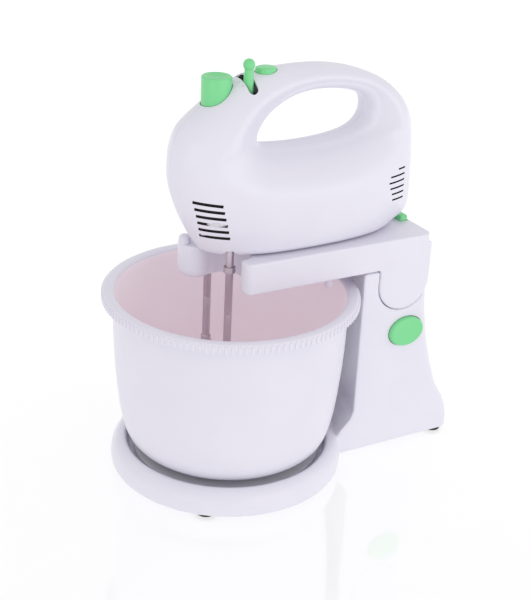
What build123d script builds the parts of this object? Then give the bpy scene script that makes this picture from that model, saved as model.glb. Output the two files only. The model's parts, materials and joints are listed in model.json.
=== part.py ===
"""Stand mixer: a hand mixer docked on a tilting arm over a turning, rib-rimmed bowl.

Millimetres, +Z up.  The origin is on the floor, at the middle of the footprint.  The nose of
the mixer and the bowl are towards -X, the column is towards +X.
"""
from build123d import *
from math import cos, hypot, radians, sin
import os

os.makedirs("parts", exist_ok=True)

# ---------------------------------------------------------------- driving dimensions
FLOOR_GAP = 3.0            # height of the rubber feet under the base
WALL = 2.5                 # moulded wall thickness

BOWL_X = -50.0             # bowl and turntable axis
BOWL_R = 108.0             # outside of the ribbed rim
RIM_Z = (156.2, 163.7)     # under side and top of the rim
LIP_R = 96.1               # inner lip of the rim
RIBS = 132                 # ribs round the rim, which the pinion drives
RIB_H = 1.2
RIB_W = 2.2

DISH_R = 100.4             # base dish, outside
DISH_TOP = 25.6
RECESS_R = 86.6            # well for the turntable
RECESS_FLOOR = 14.0
TABLE_Z = (15.0, 19.0)     # turntable disc

COLUMN_HALF = 44.0         # half width of column and arm
SCOOP_R = 112.0            # hollow front of the column, round the bowl
COLUMN_TOP = 175.0
SHOULDER = 149.0           # top of the column behind the hinge
HINGE_X, HINGE_Z = 95.0, 161.5
BARREL_R = 25.5            # round rear end of the arm, about the hinge
SADDLE_R = 25.9

ARM_Z = (176.0, 202.5)     # under side and top of the arm
ARM_REAR = 120.5
ARM_FRONT = -60.0          # front of the short prong
BOSS = (-74.0, 21.0)       # drive boss on the long prong
BOSS_R = 15.5
BOSS_BOTTOM = 171.0

BEATER_X = -63.0
BEATER_Y = 19.0
SHAFT_R = 3.25
CAGE_R = 23.0
CAGE_Z = (42.0, 112.0)

BODY_BOTTOM = 203.3        # under side of the hand mixer
MOTOR_Z = 248.0            # motor and worm axis
PINION_TEETH = 12
RUN = 0.05                 # radial running clearance
RIB_PITCH_R = BOWL_R - RIB_H / 2
PINION_R = RIB_PITCH_R * PINION_TEETH / RIBS
PINION_X = BOWL_X + RIB_PITCH_R + PINION_R + 0.1
HINGE_PIN_R = 4.0
EAR_Y = 24.0               # middle of each ear that carries the hinge pin
EAR_T = 8.0

BUTTON = (101.0, 114.0)    # middle of the oval tilt button, (x, z)
BUTTON_A, BUTTON_B = 17.5, 13.6
RELEASE = (114.0, -1.0)    # middle of the mixer release button
EJECT = (-70.0, 0.0)       # eject button
EJECT_R = 12.0
EJECT_Z = (312.0, 346.0)
LEVER_X = -47.0            # speed lever's slot
LEVER_Y = -9.0
SLOT_Y = (-21.0, 17.0)
TURBO = (-28.0, -2.0)
TURBO_R = (8.9, 7.6)
CORD_Z = 228.0             # height of the cord grommet

UP = (Align.CENTER, Align.CENTER, Align.MIN)


def side_plane(x, y, z):
    """A sketch plane seen from the near side: across is +X, up is +Z, its normal is -Y."""
    return Plane(origin=(x, y, z), x_dir=(1, 0, 0), z_dir=(0, -1, 0))


# ---------------------------------------------------------------- base
POST_R = 60.0              # circle of the four screw posts
PLATE_T = 2.0
PLATE_TONGUE = 62.0        # way through for the base plate's tongue
with BuildPart() as base_dish:
    with BuildSketch(Plane.XZ):
        with BuildLine():
            Polyline((0, FLOOR_GAP), (DISH_R - 1.5, FLOOR_GAP), (DISH_R, FLOOR_GAP + 4))
            Spline(
                (DISH_R, FLOOR_GAP + 4), (DISH_R - 0.6, 15), (DISH_R - 5.5, DISH_TOP - 1.2),
                (DISH_R - 9.5, DISH_TOP), tangents=((0.05, 1), (-1, 0)),
            )
            Polyline(
                (DISH_R - 9.5, DISH_TOP), (RECESS_R + 1, DISH_TOP), (RECESS_R, DISH_TOP - 1),
                (RECESS_R - 0.6, RECESS_FLOOR), (0, RECESS_FLOOR), (0, FLOOR_GAP),
            )
        make_face()
    revolve(axis=Axis.Z)
    with BuildSketch(Plane.XY.offset(FLOOR_GAP)):
        Circle(RECESS_R - 2)
    extrude(amount=RECESS_FLOOR - FLOOR_GAP - WALL, mode=Mode.SUBTRACT)
    with BuildSketch(Plane.XZ):                            # hollow inside the raised ring
        Polygon((RECESS_R + 1.8, FLOOR_GAP), (DISH_R - 3.2, FLOOR_GAP), (DISH_R - 3.2, 14),
                (DISH_R - 8.5, 21.5), (RECESS_R + 1.8, DISH_TOP - WALL), align=None)
    revolve(axis=Axis.Z, mode=Mode.SUBTRACT)
    with Locations((0, 0, RECESS_FLOOR)):
        Hole(4.2)
    with BuildSketch(Plane.XY.offset(FLOOR_GAP)):          # way through for the base plate
        with Locations((DISH_R - 10, 0)):
            Rectangle(40, PLATE_TONGUE)
    extrude(amount=4, mode=Mode.SUBTRACT)
    with BuildSketch(Plane.XY.offset(FLOOR_GAP + PLATE_T + 0.2)):    # screw posts
        with PolarLocations(POST_R, 4, 45):
            Circle(4)
    extrude(amount=RECESS_FLOOR - FLOOR_GAP - WALL)
    with BuildSketch(Plane.XY.offset(FLOOR_GAP + PLATE_T + 0.2)):
        with PolarLocations(POST_R, 4, 45):
            Circle(1.6)
    extrude(amount=7, mode=Mode.SUBTRACT)
base_dish.part = base_dish.part.moved(Location((BOWL_X, 0, 0)))
base_dish.part.label = "base_dish"
export_step(base_dish.part, "parts/base_dish.step")


def column_block(inset, bottom):
    """The column as a solid: inset shrinks it on all sides for its own hollow."""
    with BuildPart() as block:
        with BuildSketch(Plane.XZ):
            with BuildLine():
                Polyline((35, COLUMN_TOP - inset), (35, bottom), (158 - inset, bottom))
                Spline(
                    (158 - inset, bottom), (157.5 - inset, 15), (152 - inset, 32.4),
                    (141 - inset, 50.5), (133 - inset, 73), (126 - inset, 99),
                    (121 - inset, 130), (120.7 - inset, SHOULDER),
                )
                Polyline((120.7 - inset, SHOULDER), (HINGE_X, SHOULDER),
                         (HINGE_X, COLUMN_TOP - inset), (35, COLUMN_TOP - inset))
            make_face()
        extrude(amount=COLUMN_HALF - inset, both=True)
        rear = block.edges().filter_by(GeomType.BSPLINE).sort_by(Axis.X)[-2:]
        fillet(rear, 9 - inset)
        with BuildSketch(side_plane(BOWL_X, 0, 0)):   # scoop round the bowl
            with BuildLine():
                Polyline((0, bottom - 5), (DISH_R + 0.2 + inset, bottom - 5),
                         (DISH_R + 0.2 + inset, 27 - inset), (DISH_R + 3 + inset, 30 - inset))
                Spline(
                    (DISH_R + 3 + inset, 30 - inset), (SCOOP_R - 2 + inset, 34 - inset),
                    (SCOOP_R + inset, 42 - inset), tangents=((1, 0.3), (0, 1)),
                )
                Polyline((SCOOP_R + inset, 42 - inset), (SCOOP_R + inset, 200), (0, 200),
                         (0, bottom - 5))
            make_face()
        revolve(axis=Axis((BOWL_X, 0, 0), (0, 0, 1)), mode=Mode.SUBTRACT)
        with BuildSketch(side_plane(HINGE_X, 0, HINGE_Z)):   # saddle
            Circle(SADDLE_R + inset)
        extrude(amount=60, both=True, mode=Mode.SUBTRACT)
        with BuildSketch(side_plane(HINGE_X + 20, 0, HINGE_Z)):
            Rectangle(2 * (SADDLE_R + inset) + 40, 60, align=(Align.CENTER, Align.MIN))
        extrude(amount=60, both=True, mode=Mode.SUBTRACT)
        with BuildSketch(Plane.XY.offset(150 - inset)):            # room for the pinion
            with Locations((PINION_X, 0)):
                Circle(13 + inset)
        extrude(amount=40, mode=Mode.SUBTRACT)
    return block.part


with BuildPart() as column_shell:
    add(column_block(0, FLOOR_GAP))
    add(column_block(WALL + 0.5, FLOOR_GAP - 2), mode=Mode.SUBTRACT)
    with BuildSketch(side_plane(HINGE_X, 0, HINGE_Z)):       # ears for the pin
        Circle(9)
        with Locations((0, -16)):
            Rectangle(18, 32)
    extrude(amount=EAR_Y + EAR_T / 2, both=True)
    with BuildSketch(side_plane(HINGE_X, 0, HINGE_Z)):
        with Locations((0, -8)):
            Rectangle(60, 34.5)
    extrude(amount=EAR_Y - EAR_T / 2, both=True, mode=Mode.SUBTRACT)
    with BuildSketch(side_plane(HINGE_X, 0, HINGE_Z)):
        Circle(HINGE_PIN_R + 0.02)
    extrude(amount=60, both=True, mode=Mode.SUBTRACT)
    with BuildSketch(side_plane(BUTTON[0], 0, BUTTON[1])):   # button hole
        Ellipse(BUTTON_A + 0.3, BUTTON_B + 0.3)
    extrude(amount=60, mode=Mode.SUBTRACT)
    with BuildSketch(Plane.XY.offset(FLOOR_GAP)):          # way through for the base plate
        with Locations((60, 0)):
            Rectangle(50, PLATE_TONGUE)
    extrude(amount=4, mode=Mode.SUBTRACT)
column_shell.part.label = "column_shell"
export_step(column_shell.part, "parts/column_shell.step")

with BuildPart() as base_plate:
    with BuildSketch(Plane.XY.offset(FLOOR_GAP)):
        with Locations((BOWL_X, 0)):
            Circle(RECESS_R - 3)
        with Locations((55, 0)):
            Rectangle(120, PLATE_TONGUE - 2)
        with Locations((117, 0)):
            Rectangle(62, 78)
    extrude(amount=PLATE_T)
    with BuildSketch(Plane.XY.offset(FLOOR_GAP)):          # screw holes
        with Locations((BOWL_X, 0)):
            with PolarLocations(POST_R, 4, 45):
                Circle(1.7)
    extrude(amount=PLATE_T, mode=Mode.SUBTRACT)
base_plate.part.label = "base_plate"
export_step(base_plate.part, "parts/base_plate.step")

with BuildPart() as base_screws:
    with Locations((BOWL_X, 0, FLOOR_GAP - 1.2)):
        with PolarLocations(POST_R, 4, 45):
            Cylinder(3, 1.2, align=UP)
            Cylinder(1.5, 10, align=UP)
base_screws.part.label = "base_screws"
export_step(base_screws.part, "parts/base_screws.step")

FOOT_R = 8.0
REAR_FEET = (149.0, 35.0)  # under the column's two rear corners
with BuildPart() as feet:
    with BuildSketch():
        with Locations((BOWL_X, 0)):
            for angle in (39, 128, 232, 321):
                with Locations((89 * cos(radians(angle)), 89 * sin(radians(angle)))):
                    Circle(FOOT_R)
        with Locations(REAR_FEET, (REAR_FEET[0], -REAR_FEET[1])):
            Circle(FOOT_R)
    extrude(amount=FLOOR_GAP)
    chamfer(feet.edges().group_by(Axis.Z)[0], 0.6)
feet.part.label = "feet"
export_step(feet.part, "parts/feet.step")

# ---------------------------------------------------------------- turntable and bowl
TABLE_R = 81.0
PIVOT_R = 4.0
with BuildPart() as turntable_pivot:
    with Locations((BOWL_X, 0, RECESS_FLOOR - WALL)):
        Cylinder(4.2, WALL, align=UP)
    with Locations((BOWL_X, 0, RECESS_FLOOR)):
        Cylinder(PIVOT_R, 6.5, align=UP)
turntable_pivot.part.label = "turntable_pivot"
export_step(turntable_pivot.part, "parts/turntable_pivot.step")

with BuildPart() as turntable_glides:
    with BuildSketch(Plane.XY.offset(RECESS_FLOOR)):
        with Locations((BOWL_X, 0)):
            with PolarLocations(70, 6):
                Circle(4)
    extrude(amount=TABLE_Z[0] - RECESS_FLOOR - 0.2)
turntable_glides.part.label = "turntable_glides"
export_step(turntable_glides.part, "parts/turntable_glides.step")

LOCATE_R = 56.0            # ring on the turntable that centres the bowl
with BuildPart() as turntable:
    with BuildSketch(Plane.XY.offset(TABLE_Z[0])):
        Circle(TABLE_R)
    extrude(amount=TABLE_Z[1] - TABLE_Z[0])
    fillet(turntable.edges().sort_by(Axis.Z)[-1], 1)
    with BuildSketch(Plane.XY.offset(TABLE_Z[1])):
        Circle(LOCATE_R)
        Circle(LOCATE_R - 3, mode=Mode.SUBTRACT)
    extrude(amount=2.5)
    with BuildSketch(Plane.XY.offset(TABLE_Z[1])):         # hub over the pivot
        Circle(9)
    extrude(amount=2.4)
    with BuildSketch(Plane.XY.offset(TABLE_Z[0])):
        Circle(PIVOT_R + RUN)
    extrude(amount=6.0, mode=Mode.SUBTRACT)
turntable.part = turntable.part.moved(Location((BOWL_X, 0, 0)))
turntable.part.label = "turntable"
export_step(turntable.part, "parts/turntable.step")

BOWL_WALL = ((BOWL_R - 9.6, 156), (98.0, 125), (96.8, 100), (94.6, 74), (91.2, 47))
BOWL_FLOOR = 22.0
BOWL_T = 2.6
with BuildPart() as bowl:
    with BuildSketch(Plane.XZ):
        with BuildLine():
            Polyline((0, BOWL_FLOOR), (66, BOWL_FLOOR))
            Spline((66, BOWL_FLOOR), (78, 25), (85.4, 32), BOWL_WALL[4],
                   tangents=((1, 0), (0.18, 1)))
            Spline(*reversed(BOWL_WALL), tangents=((0.18, 1), (0.01, 1)))
            Polyline(BOWL_WALL[0], (BOWL_R - RIB_H, RIM_Z[0]), (BOWL_R - RIB_H, RIM_Z[1] - 1.4))
            RadiusArc((BOWL_R - RIB_H, RIM_Z[1] - 1.4), (BOWL_R - RIB_H - 1.4, RIM_Z[1]), -1.4)
            Line((BOWL_R - RIB_H - 1.4, RIM_Z[1]), (LIP_R + 2.4, RIM_Z[1] - 0.2))
            Spline((LIP_R + 2.4, RIM_Z[1] - 0.2), (LIP_R + 0.4, RIM_Z[1] - 1.6),
                   (BOWL_WALL[0][0] - BOWL_T, 156), tangents=((-1, 0), (-0.05, -1)))
            inner = [(r - BOWL_T, z) for r, z in BOWL_WALL]
            Spline(*inner, tangents=((-0.01, -1), (-0.18, -1)))
            Spline(inner[-1], (83.2, 34), (77, 27.6), (66, BOWL_FLOOR + BOWL_T),
                   tangents=((-0.18, -1), (-1, 0)))
            Polyline((66, BOWL_FLOOR + BOWL_T), (0, BOWL_FLOOR + BOWL_T), (0, BOWL_FLOOR))
        make_face()
    revolve(axis=Axis.Z)
    with BuildSketch(Plane.XZ):                            # hollow under the rim
        Polygon((BOWL_WALL[0][0] + 1.0, 150), (BOWL_R - RIB_H - 2.2, 150),
                (BOWL_R - RIB_H - 2.2, RIM_Z[1] - 2.6), (BOWL_WALL[0][0] + 1.0, RIM_Z[1] - 2.6),
                align=None)
    revolve(axis=Axis.Z, mode=Mode.SUBTRACT)
    with BuildSketch(Plane.XY.offset(TABLE_Z[1])):         # foot ring
        Circle(LOCATE_R + 3.4)
        Circle(LOCATE_R + 0.4, mode=Mode.SUBTRACT)
    extrude(amount=BOWL_FLOOR - TABLE_Z[1])
bowl.part = bowl.part.moved(Location((BOWL_X, 0, 0)))
bowl.part.label = "bowl"
export_step(bowl.part, "parts/bowl.step")

BAND_T = 0.4               # band that carries the ribs
with BuildPart() as rim_gear:
    with BuildSketch(Plane.XY.offset(RIM_Z[0] + 0.3)):
        Circle(BOWL_R - RIB_H + BAND_T)
        with PolarLocations(BOWL_R - (RIB_H - BAND_T) / 2 - 0.1, RIBS):
            Rectangle(RIB_H - BAND_T + 0.2, RIB_W)
        Circle(BOWL_R - RIB_H, mode=Mode.SUBTRACT)
    extrude(amount=RIM_Z[1] - RIM_Z[0] - 1.8)
rim_gear.part = rim_gear.part.moved(Location((BOWL_X, 0, 0)))
rim_gear.part.label = "rim_gear"
export_step(rim_gear.part, "parts/rim_gear.step")

# ---------------------------------------------------------------- hinge and tilt latch
with BuildPart() as hinge_pin:
    with BuildSketch(side_plane(HINGE_X, 0, HINGE_Z)):
        Circle(HINGE_PIN_R)
    extrude(amount=40, both=True)
hinge_pin.part.label = "hinge_pin"
export_step(hinge_pin.part, "parts/hinge_pin.step")

BUTTON_PROUD = 3.5
with BuildPart() as tilt_button:
    with BuildSketch(side_plane(BUTTON[0], -COLUMN_HALF - BUTTON_PROUD, BUTTON[1])):
        Ellipse(BUTTON_A, BUTTON_B)
    extrude(amount=-9)
    fillet(tilt_button.edges().sort_by(Axis.Y)[0], 2.5)
    with BuildSketch(side_plane(BUTTON[0], -39, BUTTON[1])):
        Circle(5)
    extrude(amount=-17)
tilt_button.part.label = "tilt_button"
export_step(tilt_button.part, "parts/tilt_button.step")

with BuildPart() as latch_bar:
    with Locations((BUTTON[0], -10, BUTTON[1])):
        Box(12, 24, 12)
    with Locations((BUTTON[0] - 3, -7, BUTTON[1] + 9)):
        Box(6, 6, 12)
latch_bar.part.label = "latch_bar"
export_step(latch_bar.part, "parts/latch_bar.step")

SPRING_Y = (2.4, 25.0)
with BuildPart() as latch_spring:
    with BuildSketch(side_plane(BUTTON[0], SPRING_Y[0], BUTTON[1])):
        Circle(4)
        Circle(3, mode=Mode.SUBTRACT)
    extrude(amount=SPRING_Y[0] - SPRING_Y[1])
latch_spring.part.label = "latch_spring"
export_step(latch_spring.part, "parts/latch_spring.step")

with BuildPart() as latch_guide:
    with BuildSketch(side_plane(BUTTON[0], 22.6, BUTTON[1])):
        Rectangle(16, 16)
    extrude(amount=-18.2)
    with BuildSketch(side_plane(BUTTON[0], 22.6, BUTTON[1])):   # bore that takes the spring
        Circle(4.6)
    extrude(amount=-6.4, mode=Mode.SUBTRACT)
latch_guide.part.label = "latch_guide"
export_step(latch_guide.part, "parts/latch_guide.step")

# ---------------------------------------------------------------- tilting arm
PRONG_Y = (-44.0, -30.0)   # short prong, beside the near beater
SLOT_END = -46.0           # rear end of the opening for the beaters
LONG_PRONG_Y = 8.0         # inner side of the long prong
FORK_X = (-58.0, -52.0)    # where the long and the short prong meet the end of their gap


def arm_plan(inset):
    """Plan of the arm: two prongs round the opening for the near beater."""
    with BuildSketch() as plan:
        with BuildLine():
            half = COLUMN_HALF + 0.3 - inset
            front = ARM_FRONT + inset
            Polyline((ARM_REAR - inset, half), (BOSS[0] + 8, half))
            Line((BOSS[0] + 8, half), (BOSS[0] - 2, BOSS[1] + BOSS_R - inset))
            Line((BOSS[0] - 2, BOSS[1] + BOSS_R - inset), (BOSS[0] - 2, LONG_PRONG_Y + inset))
            Polyline((BOSS[0] - 2, LONG_PRONG_Y + inset), (FORK_X[0], LONG_PRONG_Y + inset))
            ThreePointArc((FORK_X[0], LONG_PRONG_Y + inset), (SLOT_END + inset, -11),
                          (FORK_X[1], PRONG_Y[1] - inset))
            Polyline((FORK_X[1], PRONG_Y[1] - inset), (front, PRONG_Y[1] - inset), (front, -half),
                     (ARM_REAR - inset, -half), (ARM_REAR - inset, half))
        make_face()
        corners = plan.vertices().sort_by(Axis.X)
        fillet(corners.filter_by(lambda v: abs(v.X - front) < 0.1), 5 - inset)
        fillet(plan.vertices().sort_by(Axis.X)[-2:], 8 - inset)
    return plan.sketch


def arm_block(inset, top):
    """The arm with its boss and its round rear end, as a solid."""
    with BuildPart() as block:
        with BuildSketch(Plane.XY.offset(BOSS_BOTTOM + inset)):
            with Locations(BOSS):
                Circle(BOSS_R - inset)
        extrude(amount=top - BOSS_BOTTOM - inset)
        fillet(block.edges().sort_by(Axis.Z)[0], 7 - inset)
        with BuildSketch(Plane.XY.offset(ARM_Z[0] + inset)):
            add(arm_plan(inset))
        extrude(amount=top - ARM_Z[0] - inset)
        with BuildSketch(side_plane(HINGE_X, 0, HINGE_Z)):
            Circle(BARREL_R - inset)
            with Locations((0, 10)):
                Rectangle(2 * (BARREL_R - inset), 20)
        extrude(amount=COLUMN_HALF + 0.3 - inset, both=True)
    return block.part


DECK_T = 2.5
with BuildPart() as arm_shell:
    add(arm_block(0, ARM_Z[1]))
    add(arm_block(WALL, ARM_Z[1] + 5), mode=Mode.SUBTRACT)
    with BuildSketch(side_plane(HINGE_X, 0, HINGE_Z)):     # hinge bosses in both cheeks
        Circle(8)
    extrude(amount=COLUMN_HALF - 1, both=True)
    with BuildSketch(side_plane(HINGE_X, 0, HINGE_Z)):     # clear of the column's ears
        Circle(12)
        with Locations((-31, -40)):
            Rectangle(46, 54.5, align=(Align.MIN, Align.MIN))
        with Locations((10, -40)):
            Rectangle(20, 31.5, align=(Align.MIN, Align.MIN))
    extrude(amount=36, both=True, mode=Mode.SUBTRACT)
    with BuildSketch(side_plane(HINGE_X, 0, HINGE_Z)):
        Circle(HINGE_PIN_R + RUN)
    extrude(amount=40.2, both=True, mode=Mode.SUBTRACT)
    with BuildSketch(Plane.XY.offset(BOSS_BOTTOM)):        # far beater passes the boss
        with Locations((BEATER_X, BEATER_Y)):
            Circle(4.5)
    extrude(amount=8, mode=Mode.SUBTRACT)
    with BuildSketch(Plane.XY.offset(ARM_Z[0])):           # pinion shaft bearing hole
        with Locations((PINION_X, 0)):
            Circle(5)
    extrude(amount=WALL, mode=Mode.SUBTRACT)
arm_shell.part.label = "arm_shell"
export_step(arm_shell.part, "parts/arm_shell.step")

with BuildPart() as arm_deck:
    with BuildSketch(Plane.XY.offset(ARM_Z[1] - DECK_T)):
        add(arm_plan(WALL + 0.1))
    extrude(amount=DECK_T)
    with BuildSketch(Plane.XY.offset(ARM_Z[1] - DECK_T)):
        with Locations((BEATER_X, BEATER_Y)):
            Circle(8.5)
        with Locations(RELEASE):
            RectangleRounded(9, 18, 2)
    extrude(amount=DECK_T, mode=Mode.SUBTRACT)
arm_deck.part.label = "arm_deck"
export_step(arm_deck.part, "parts/arm_deck.step")

with BuildPart() as arm_screws:
    with Locations((20, 30, ARM_Z[0] + 3.5), (20, -30, ARM_Z[0] + 3.5), (-30, 30, ARM_Z[0] + 3.5)):
        Cylinder(1.5, ARM_Z[1] - DECK_T - ARM_Z[0] - 3.5, align=UP)
        Cylinder(3, 2, align=UP)
arm_screws.part.label = "arm_screws"
export_step(arm_screws.part, "parts/arm_screws.step")

with BuildPart() as nose_post:
    with Locations((BOSS[0] - 11.9, BOSS[1], ARM_Z[1])):
        Cylinder(3.4, 4.4, align=UP)
    fillet(nose_post.edges().sort_by(Axis.Z)[-1], 2)
nose_post.part.label = "nose_post"
export_step(nose_post.part, "parts/nose_post.step")

with BuildPart() as bowl_stop:
    with Locations((24, -33, ARM_Z[0] - 11)):
        Cylinder(3.5, 11, align=UP)
    fillet(bowl_stop.edges().sort_by(Axis.Z)[0], 2)
bowl_stop.part.label = "bowl_stop"
export_step(bowl_stop.part, "parts/bowl_stop.step")

# ---------------------------------------------------------------- bowl drive in the arm
PULLEY_Z = 181.0
PULLEY_H = 8.0
FRONT_PULLEY_R = 6.0
REAR_PULLEY_R = 10.0
with BuildPart() as drive_pulley:
    with BuildSketch(Plane.XY.offset(PULLEY_Z)):
        Circle(FRONT_PULLEY_R)
    extrude(amount=PULLEY_H)
    with BuildSketch(Plane.XY.offset(ARM_Z[0] + 3)):
        Circle(4.6)
    extrude(amount=18)
    with BuildSketch(Plane.XY.offset(ARM_Z[0] + 3)):
        Circle(SHAFT_R + 0.1)
    extrude(amount=18, mode=Mode.SUBTRACT)
drive_pulley.part = drive_pulley.part.moved(Location((BEATER_X, BEATER_Y, 0)))
drive_pulley.part.label = "drive_pulley"
export_step(drive_pulley.part, "parts/drive_pulley.step")

TOOTH_W = 1.6
PINION_Z = (157.0, 161.5)
PINION_SHAFT_R = 3.0
with BuildPart() as pinion:
    with BuildSketch(Plane.XY.offset(PINION_Z[0])):
        Circle(PINION_R - 1.0)
        with PolarLocations(PINION_R - 0.9, PINION_TEETH, 180 / PINION_TEETH):
            Rectangle(2.0, TOOTH_W)
    extrude(amount=PINION_Z[1] - PINION_Z[0])
    with BuildSketch(Plane.XY.offset(PINION_Z[0])):
        Circle(PINION_SHAFT_R)
    extrude(amount=ARM_Z[1] - DECK_T - PINION_Z[0])
    with BuildSketch(Plane.XY.offset(PULLEY_Z)):
        Circle(REAR_PULLEY_R)
    extrude(amount=PULLEY_H)
pinion.part = pinion.part.moved(Location((PINION_X, 0, 0)))
pinion.part.label = "pinion"
export_step(pinion.part, "parts/pinion.step")

with BuildPart() as pinion_bush:
    with BuildSketch(Plane.XY.offset(ARM_Z[0] - 1)):
        Circle(5)
        Circle(PINION_SHAFT_R + RUN, mode=Mode.SUBTRACT)
    extrude(amount=4.5)
pinion_bush.part = pinion_bush.part.moved(Location((PINION_X, 0, 0)))
pinion_bush.part.label = "pinion_bush"
export_step(pinion_bush.part, "parts/pinion_bush.step")

with BuildPart() as drive_belt:
    with BuildSketch(Plane.XY.offset(PULLEY_Z + 1)):
        for grow, how in ((1.2, Mode.ADD), (0.3, Mode.SUBTRACT)):
            make_hull(
                [*Circle(FRONT_PULLEY_R + grow, mode=Mode.PRIVATE)
                 .moved(Location((BEATER_X, BEATER_Y))).edges(),
                 *Circle(REAR_PULLEY_R + grow, mode=Mode.PRIVATE)
                 .moved(Location((PINION_X, 0))).edges()],
                mode=how,
            )
    extrude(amount=PULLEY_H - 2)
drive_belt.part.label = "drive_belt"
export_step(drive_belt.part, "parts/drive_belt.step")

with BuildPart() as release_button:
    with BuildSketch(Plane.XY.offset(ARM_Z[1])):
        with Locations(RELEASE):
            RectangleRounded(8, 17, 1.8)
    extrude(amount=5)
    fillet(release_button.edges().group_by(Axis.Z)[-1], 1.5)
    with BuildSketch(Plane.XY.offset(ARM_Z[1] - 9)):
        with Locations(RELEASE):
            Rectangle(3, 10)
    extrude(amount=9)
release_button.part.label = "release_button"
export_step(release_button.part, "parts/release_button.step")

# ---------------------------------------------------------------- hand mixer housing
BODY_SIDE = (
    (-80, BODY_BOTTOM), (-92, 221), (-101.5, 241), (-107.5, 261), (-108.5, 277), (-106.5, 294),
    (-99, 309.5), (-78, 326.5), (-60, 338.5), (-42, 344.8), (-20, 348), (3, 349), (25, 348.2),
    (45, 345), (65, 339), (85, 329.5), (100, 317), (108.5, 304), (112.5, 288), (114.5, 262),
    (115.5, 240), (114.5, 222), (108, 211), (96, BODY_BOTTOM),
)
GRIP_HOLE = (
    (-36, 294), (-32, 288.5), (-21, 286.5), (4, 285.5), (31, 287), (52, 291), (63, 297.5),
    (67, 307), (63.5, 317.5), (51, 324), (31, 327.5), (10, 327.5), (-9, 323), (-25, 313.5),
    (-33.5, 303),
)
BODY_PLAN = (
    (-108.6, 0), (-104.5, 14), (-92, 27), (-75, 36), (-50, 41), (-20, 42.5), (10, 41.5),
    (40, 38), (70, 32), (95, 24), (108, 15.5), (115.6, 0),
)
NOSE_SECTION = ((36.5, BODY_BOTTOM), (41, 225), (42.5, 248), (41.5, 275), (38, 300), (31, 325),
                (22, 341), (0, 350))
GRIP_SECTION = ((36.5, BODY_BOTTOM), (41, 225), (42.5, 248), (40, 270), (33, 288), (20, 303),
                (16.5, 320), (16, 336), (10, 346.5), (0, 350))


def shifted(outline, amount):
    """A closed outline with each point moved to the right of its direction of travel."""
    moved = []
    for before, here, after in zip(outline[-1:] + outline[:-1], outline, outline[1:] + outline[:1]):
        first = hypot(here[0] - before[0], here[1] - before[1])
        second = hypot(after[0] - here[0], after[1] - here[1])
        u = (here[0] - before[0]) / first + (after[0] - here[0]) / second
        v = (here[1] - before[1]) / first + (after[1] - here[1]) / second
        scale = amount / hypot(u, v)
        moved.append((here[0] + scale * v, here[1] - scale * u))
    return moved


def body_block(inset):
    """The mixer's housing as a solid, before its controls and vents are cut."""
    with BuildPart() as block:
        for half, low, high in ((NOSE_SECTION, -120, -22), (GRIP_SECTION, -22.5, 130)):
            section = shifted([*half, *[(-y, z) for y, z in reversed(half[:-1])]], -inset)
            with BuildSketch(Plane(origin=(low, 0, 0), x_dir=(0, 1, 0), z_dir=(1, 0, 0))):
                with BuildLine():
                    Spline(*section)
                    Line(section[-1], section[0])
                make_face()
            extrude(amount=high - low)
        plan = shifted([*BODY_PLAN, *[(x, -y) for x, y in reversed(BODY_PLAN[1:-1])]], inset)
        with BuildSketch(Plane.XY.offset(BODY_BOTTOM - 1)):
            with BuildLine():
                Spline(*plan, periodic=True)
            make_face()
        extrude(amount=160, mode=Mode.INTERSECT)
        side = shifted([*BODY_SIDE], inset)
        with BuildSketch(Plane.XZ):
            with BuildLine():
                Spline(*side)
                Line(side[-1], side[0])
            make_face()
        extrude(amount=60, both=True, mode=Mode.INTERSECT)
        with BuildSketch(Plane.XZ):
            with BuildLine():
                Spline(*shifted([*GRIP_HOLE], inset), periodic=True)
            make_face()
        extrude(amount=60, both=True, mode=Mode.SUBTRACT)
    return block.part


FRONT_VENTS = [(-90 + 0.9 * k, 258.5 - 4.9 * k) for k in range(6)]
REAR_VENTS = [(91 + 0.6 * k, 258 - 5.0 * k) for k in range(6)]

with BuildPart() as housing:
    add(body_block(0))
    add(body_block(WALL), mode=Mode.SUBTRACT)
    with BuildSketch(Plane.XY.offset(300)):                # openings for the controls
        with Locations(EJECT):
            Circle(EJECT_R + 0.4)
        with Locations((LEVER_X, (SLOT_Y[0] + SLOT_Y[1]) / 2)):
            SlotOverall(SLOT_Y[1] - SLOT_Y[0], 8, rotation=90)
        with Locations(TURBO):
            Ellipse(TURBO_R[0] + 0.3, TURBO_R[1] + 0.3)
    extrude(amount=60, mode=Mode.SUBTRACT)
    with BuildSketch(Plane.XY.offset(BODY_BOTTOM - 1)):    # spindles come out underneath
        with Locations((BEATER_X, BEATER_Y), (BEATER_X, -BEATER_Y)):
            Circle(7)
    extrude(amount=12, mode=Mode.SUBTRACT)
    with BuildSketch(Plane.XZ):                            # cooling slots, both sides
        with Locations(FRONT_VENTS):
            SlotOverall(30, 2.2)
        with Locations(REAR_VENTS):
            SlotOverall(16, 2.2)
    extrude(amount=60, both=True, mode=Mode.SUBTRACT)
    with BuildSketch(Plane.YZ.offset(108)):                # hole for the cord grommet
        with Locations((0, CORD_Z)):
            Circle(5)
    extrude(amount=20, mode=Mode.SUBTRACT)

with BuildPart() as mixer_shell_left:
    add(housing.part)
    with Locations((0, -50, 280)):
        Box(300, 100, 200, mode=Mode.SUBTRACT)
mixer_shell_left.part.label = "mixer_shell_left"
export_step(mixer_shell_left.part, "parts/mixer_shell_left.step")

with BuildPart() as mixer_shell_right:
    add(housing.part)
    with Locations((0, 50, 280)):
        Box(300, 100, 200, mode=Mode.SUBTRACT)
mixer_shell_right.part.label = "mixer_shell_right"
export_step(mixer_shell_right.part, "parts/mixer_shell_right.step")

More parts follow.
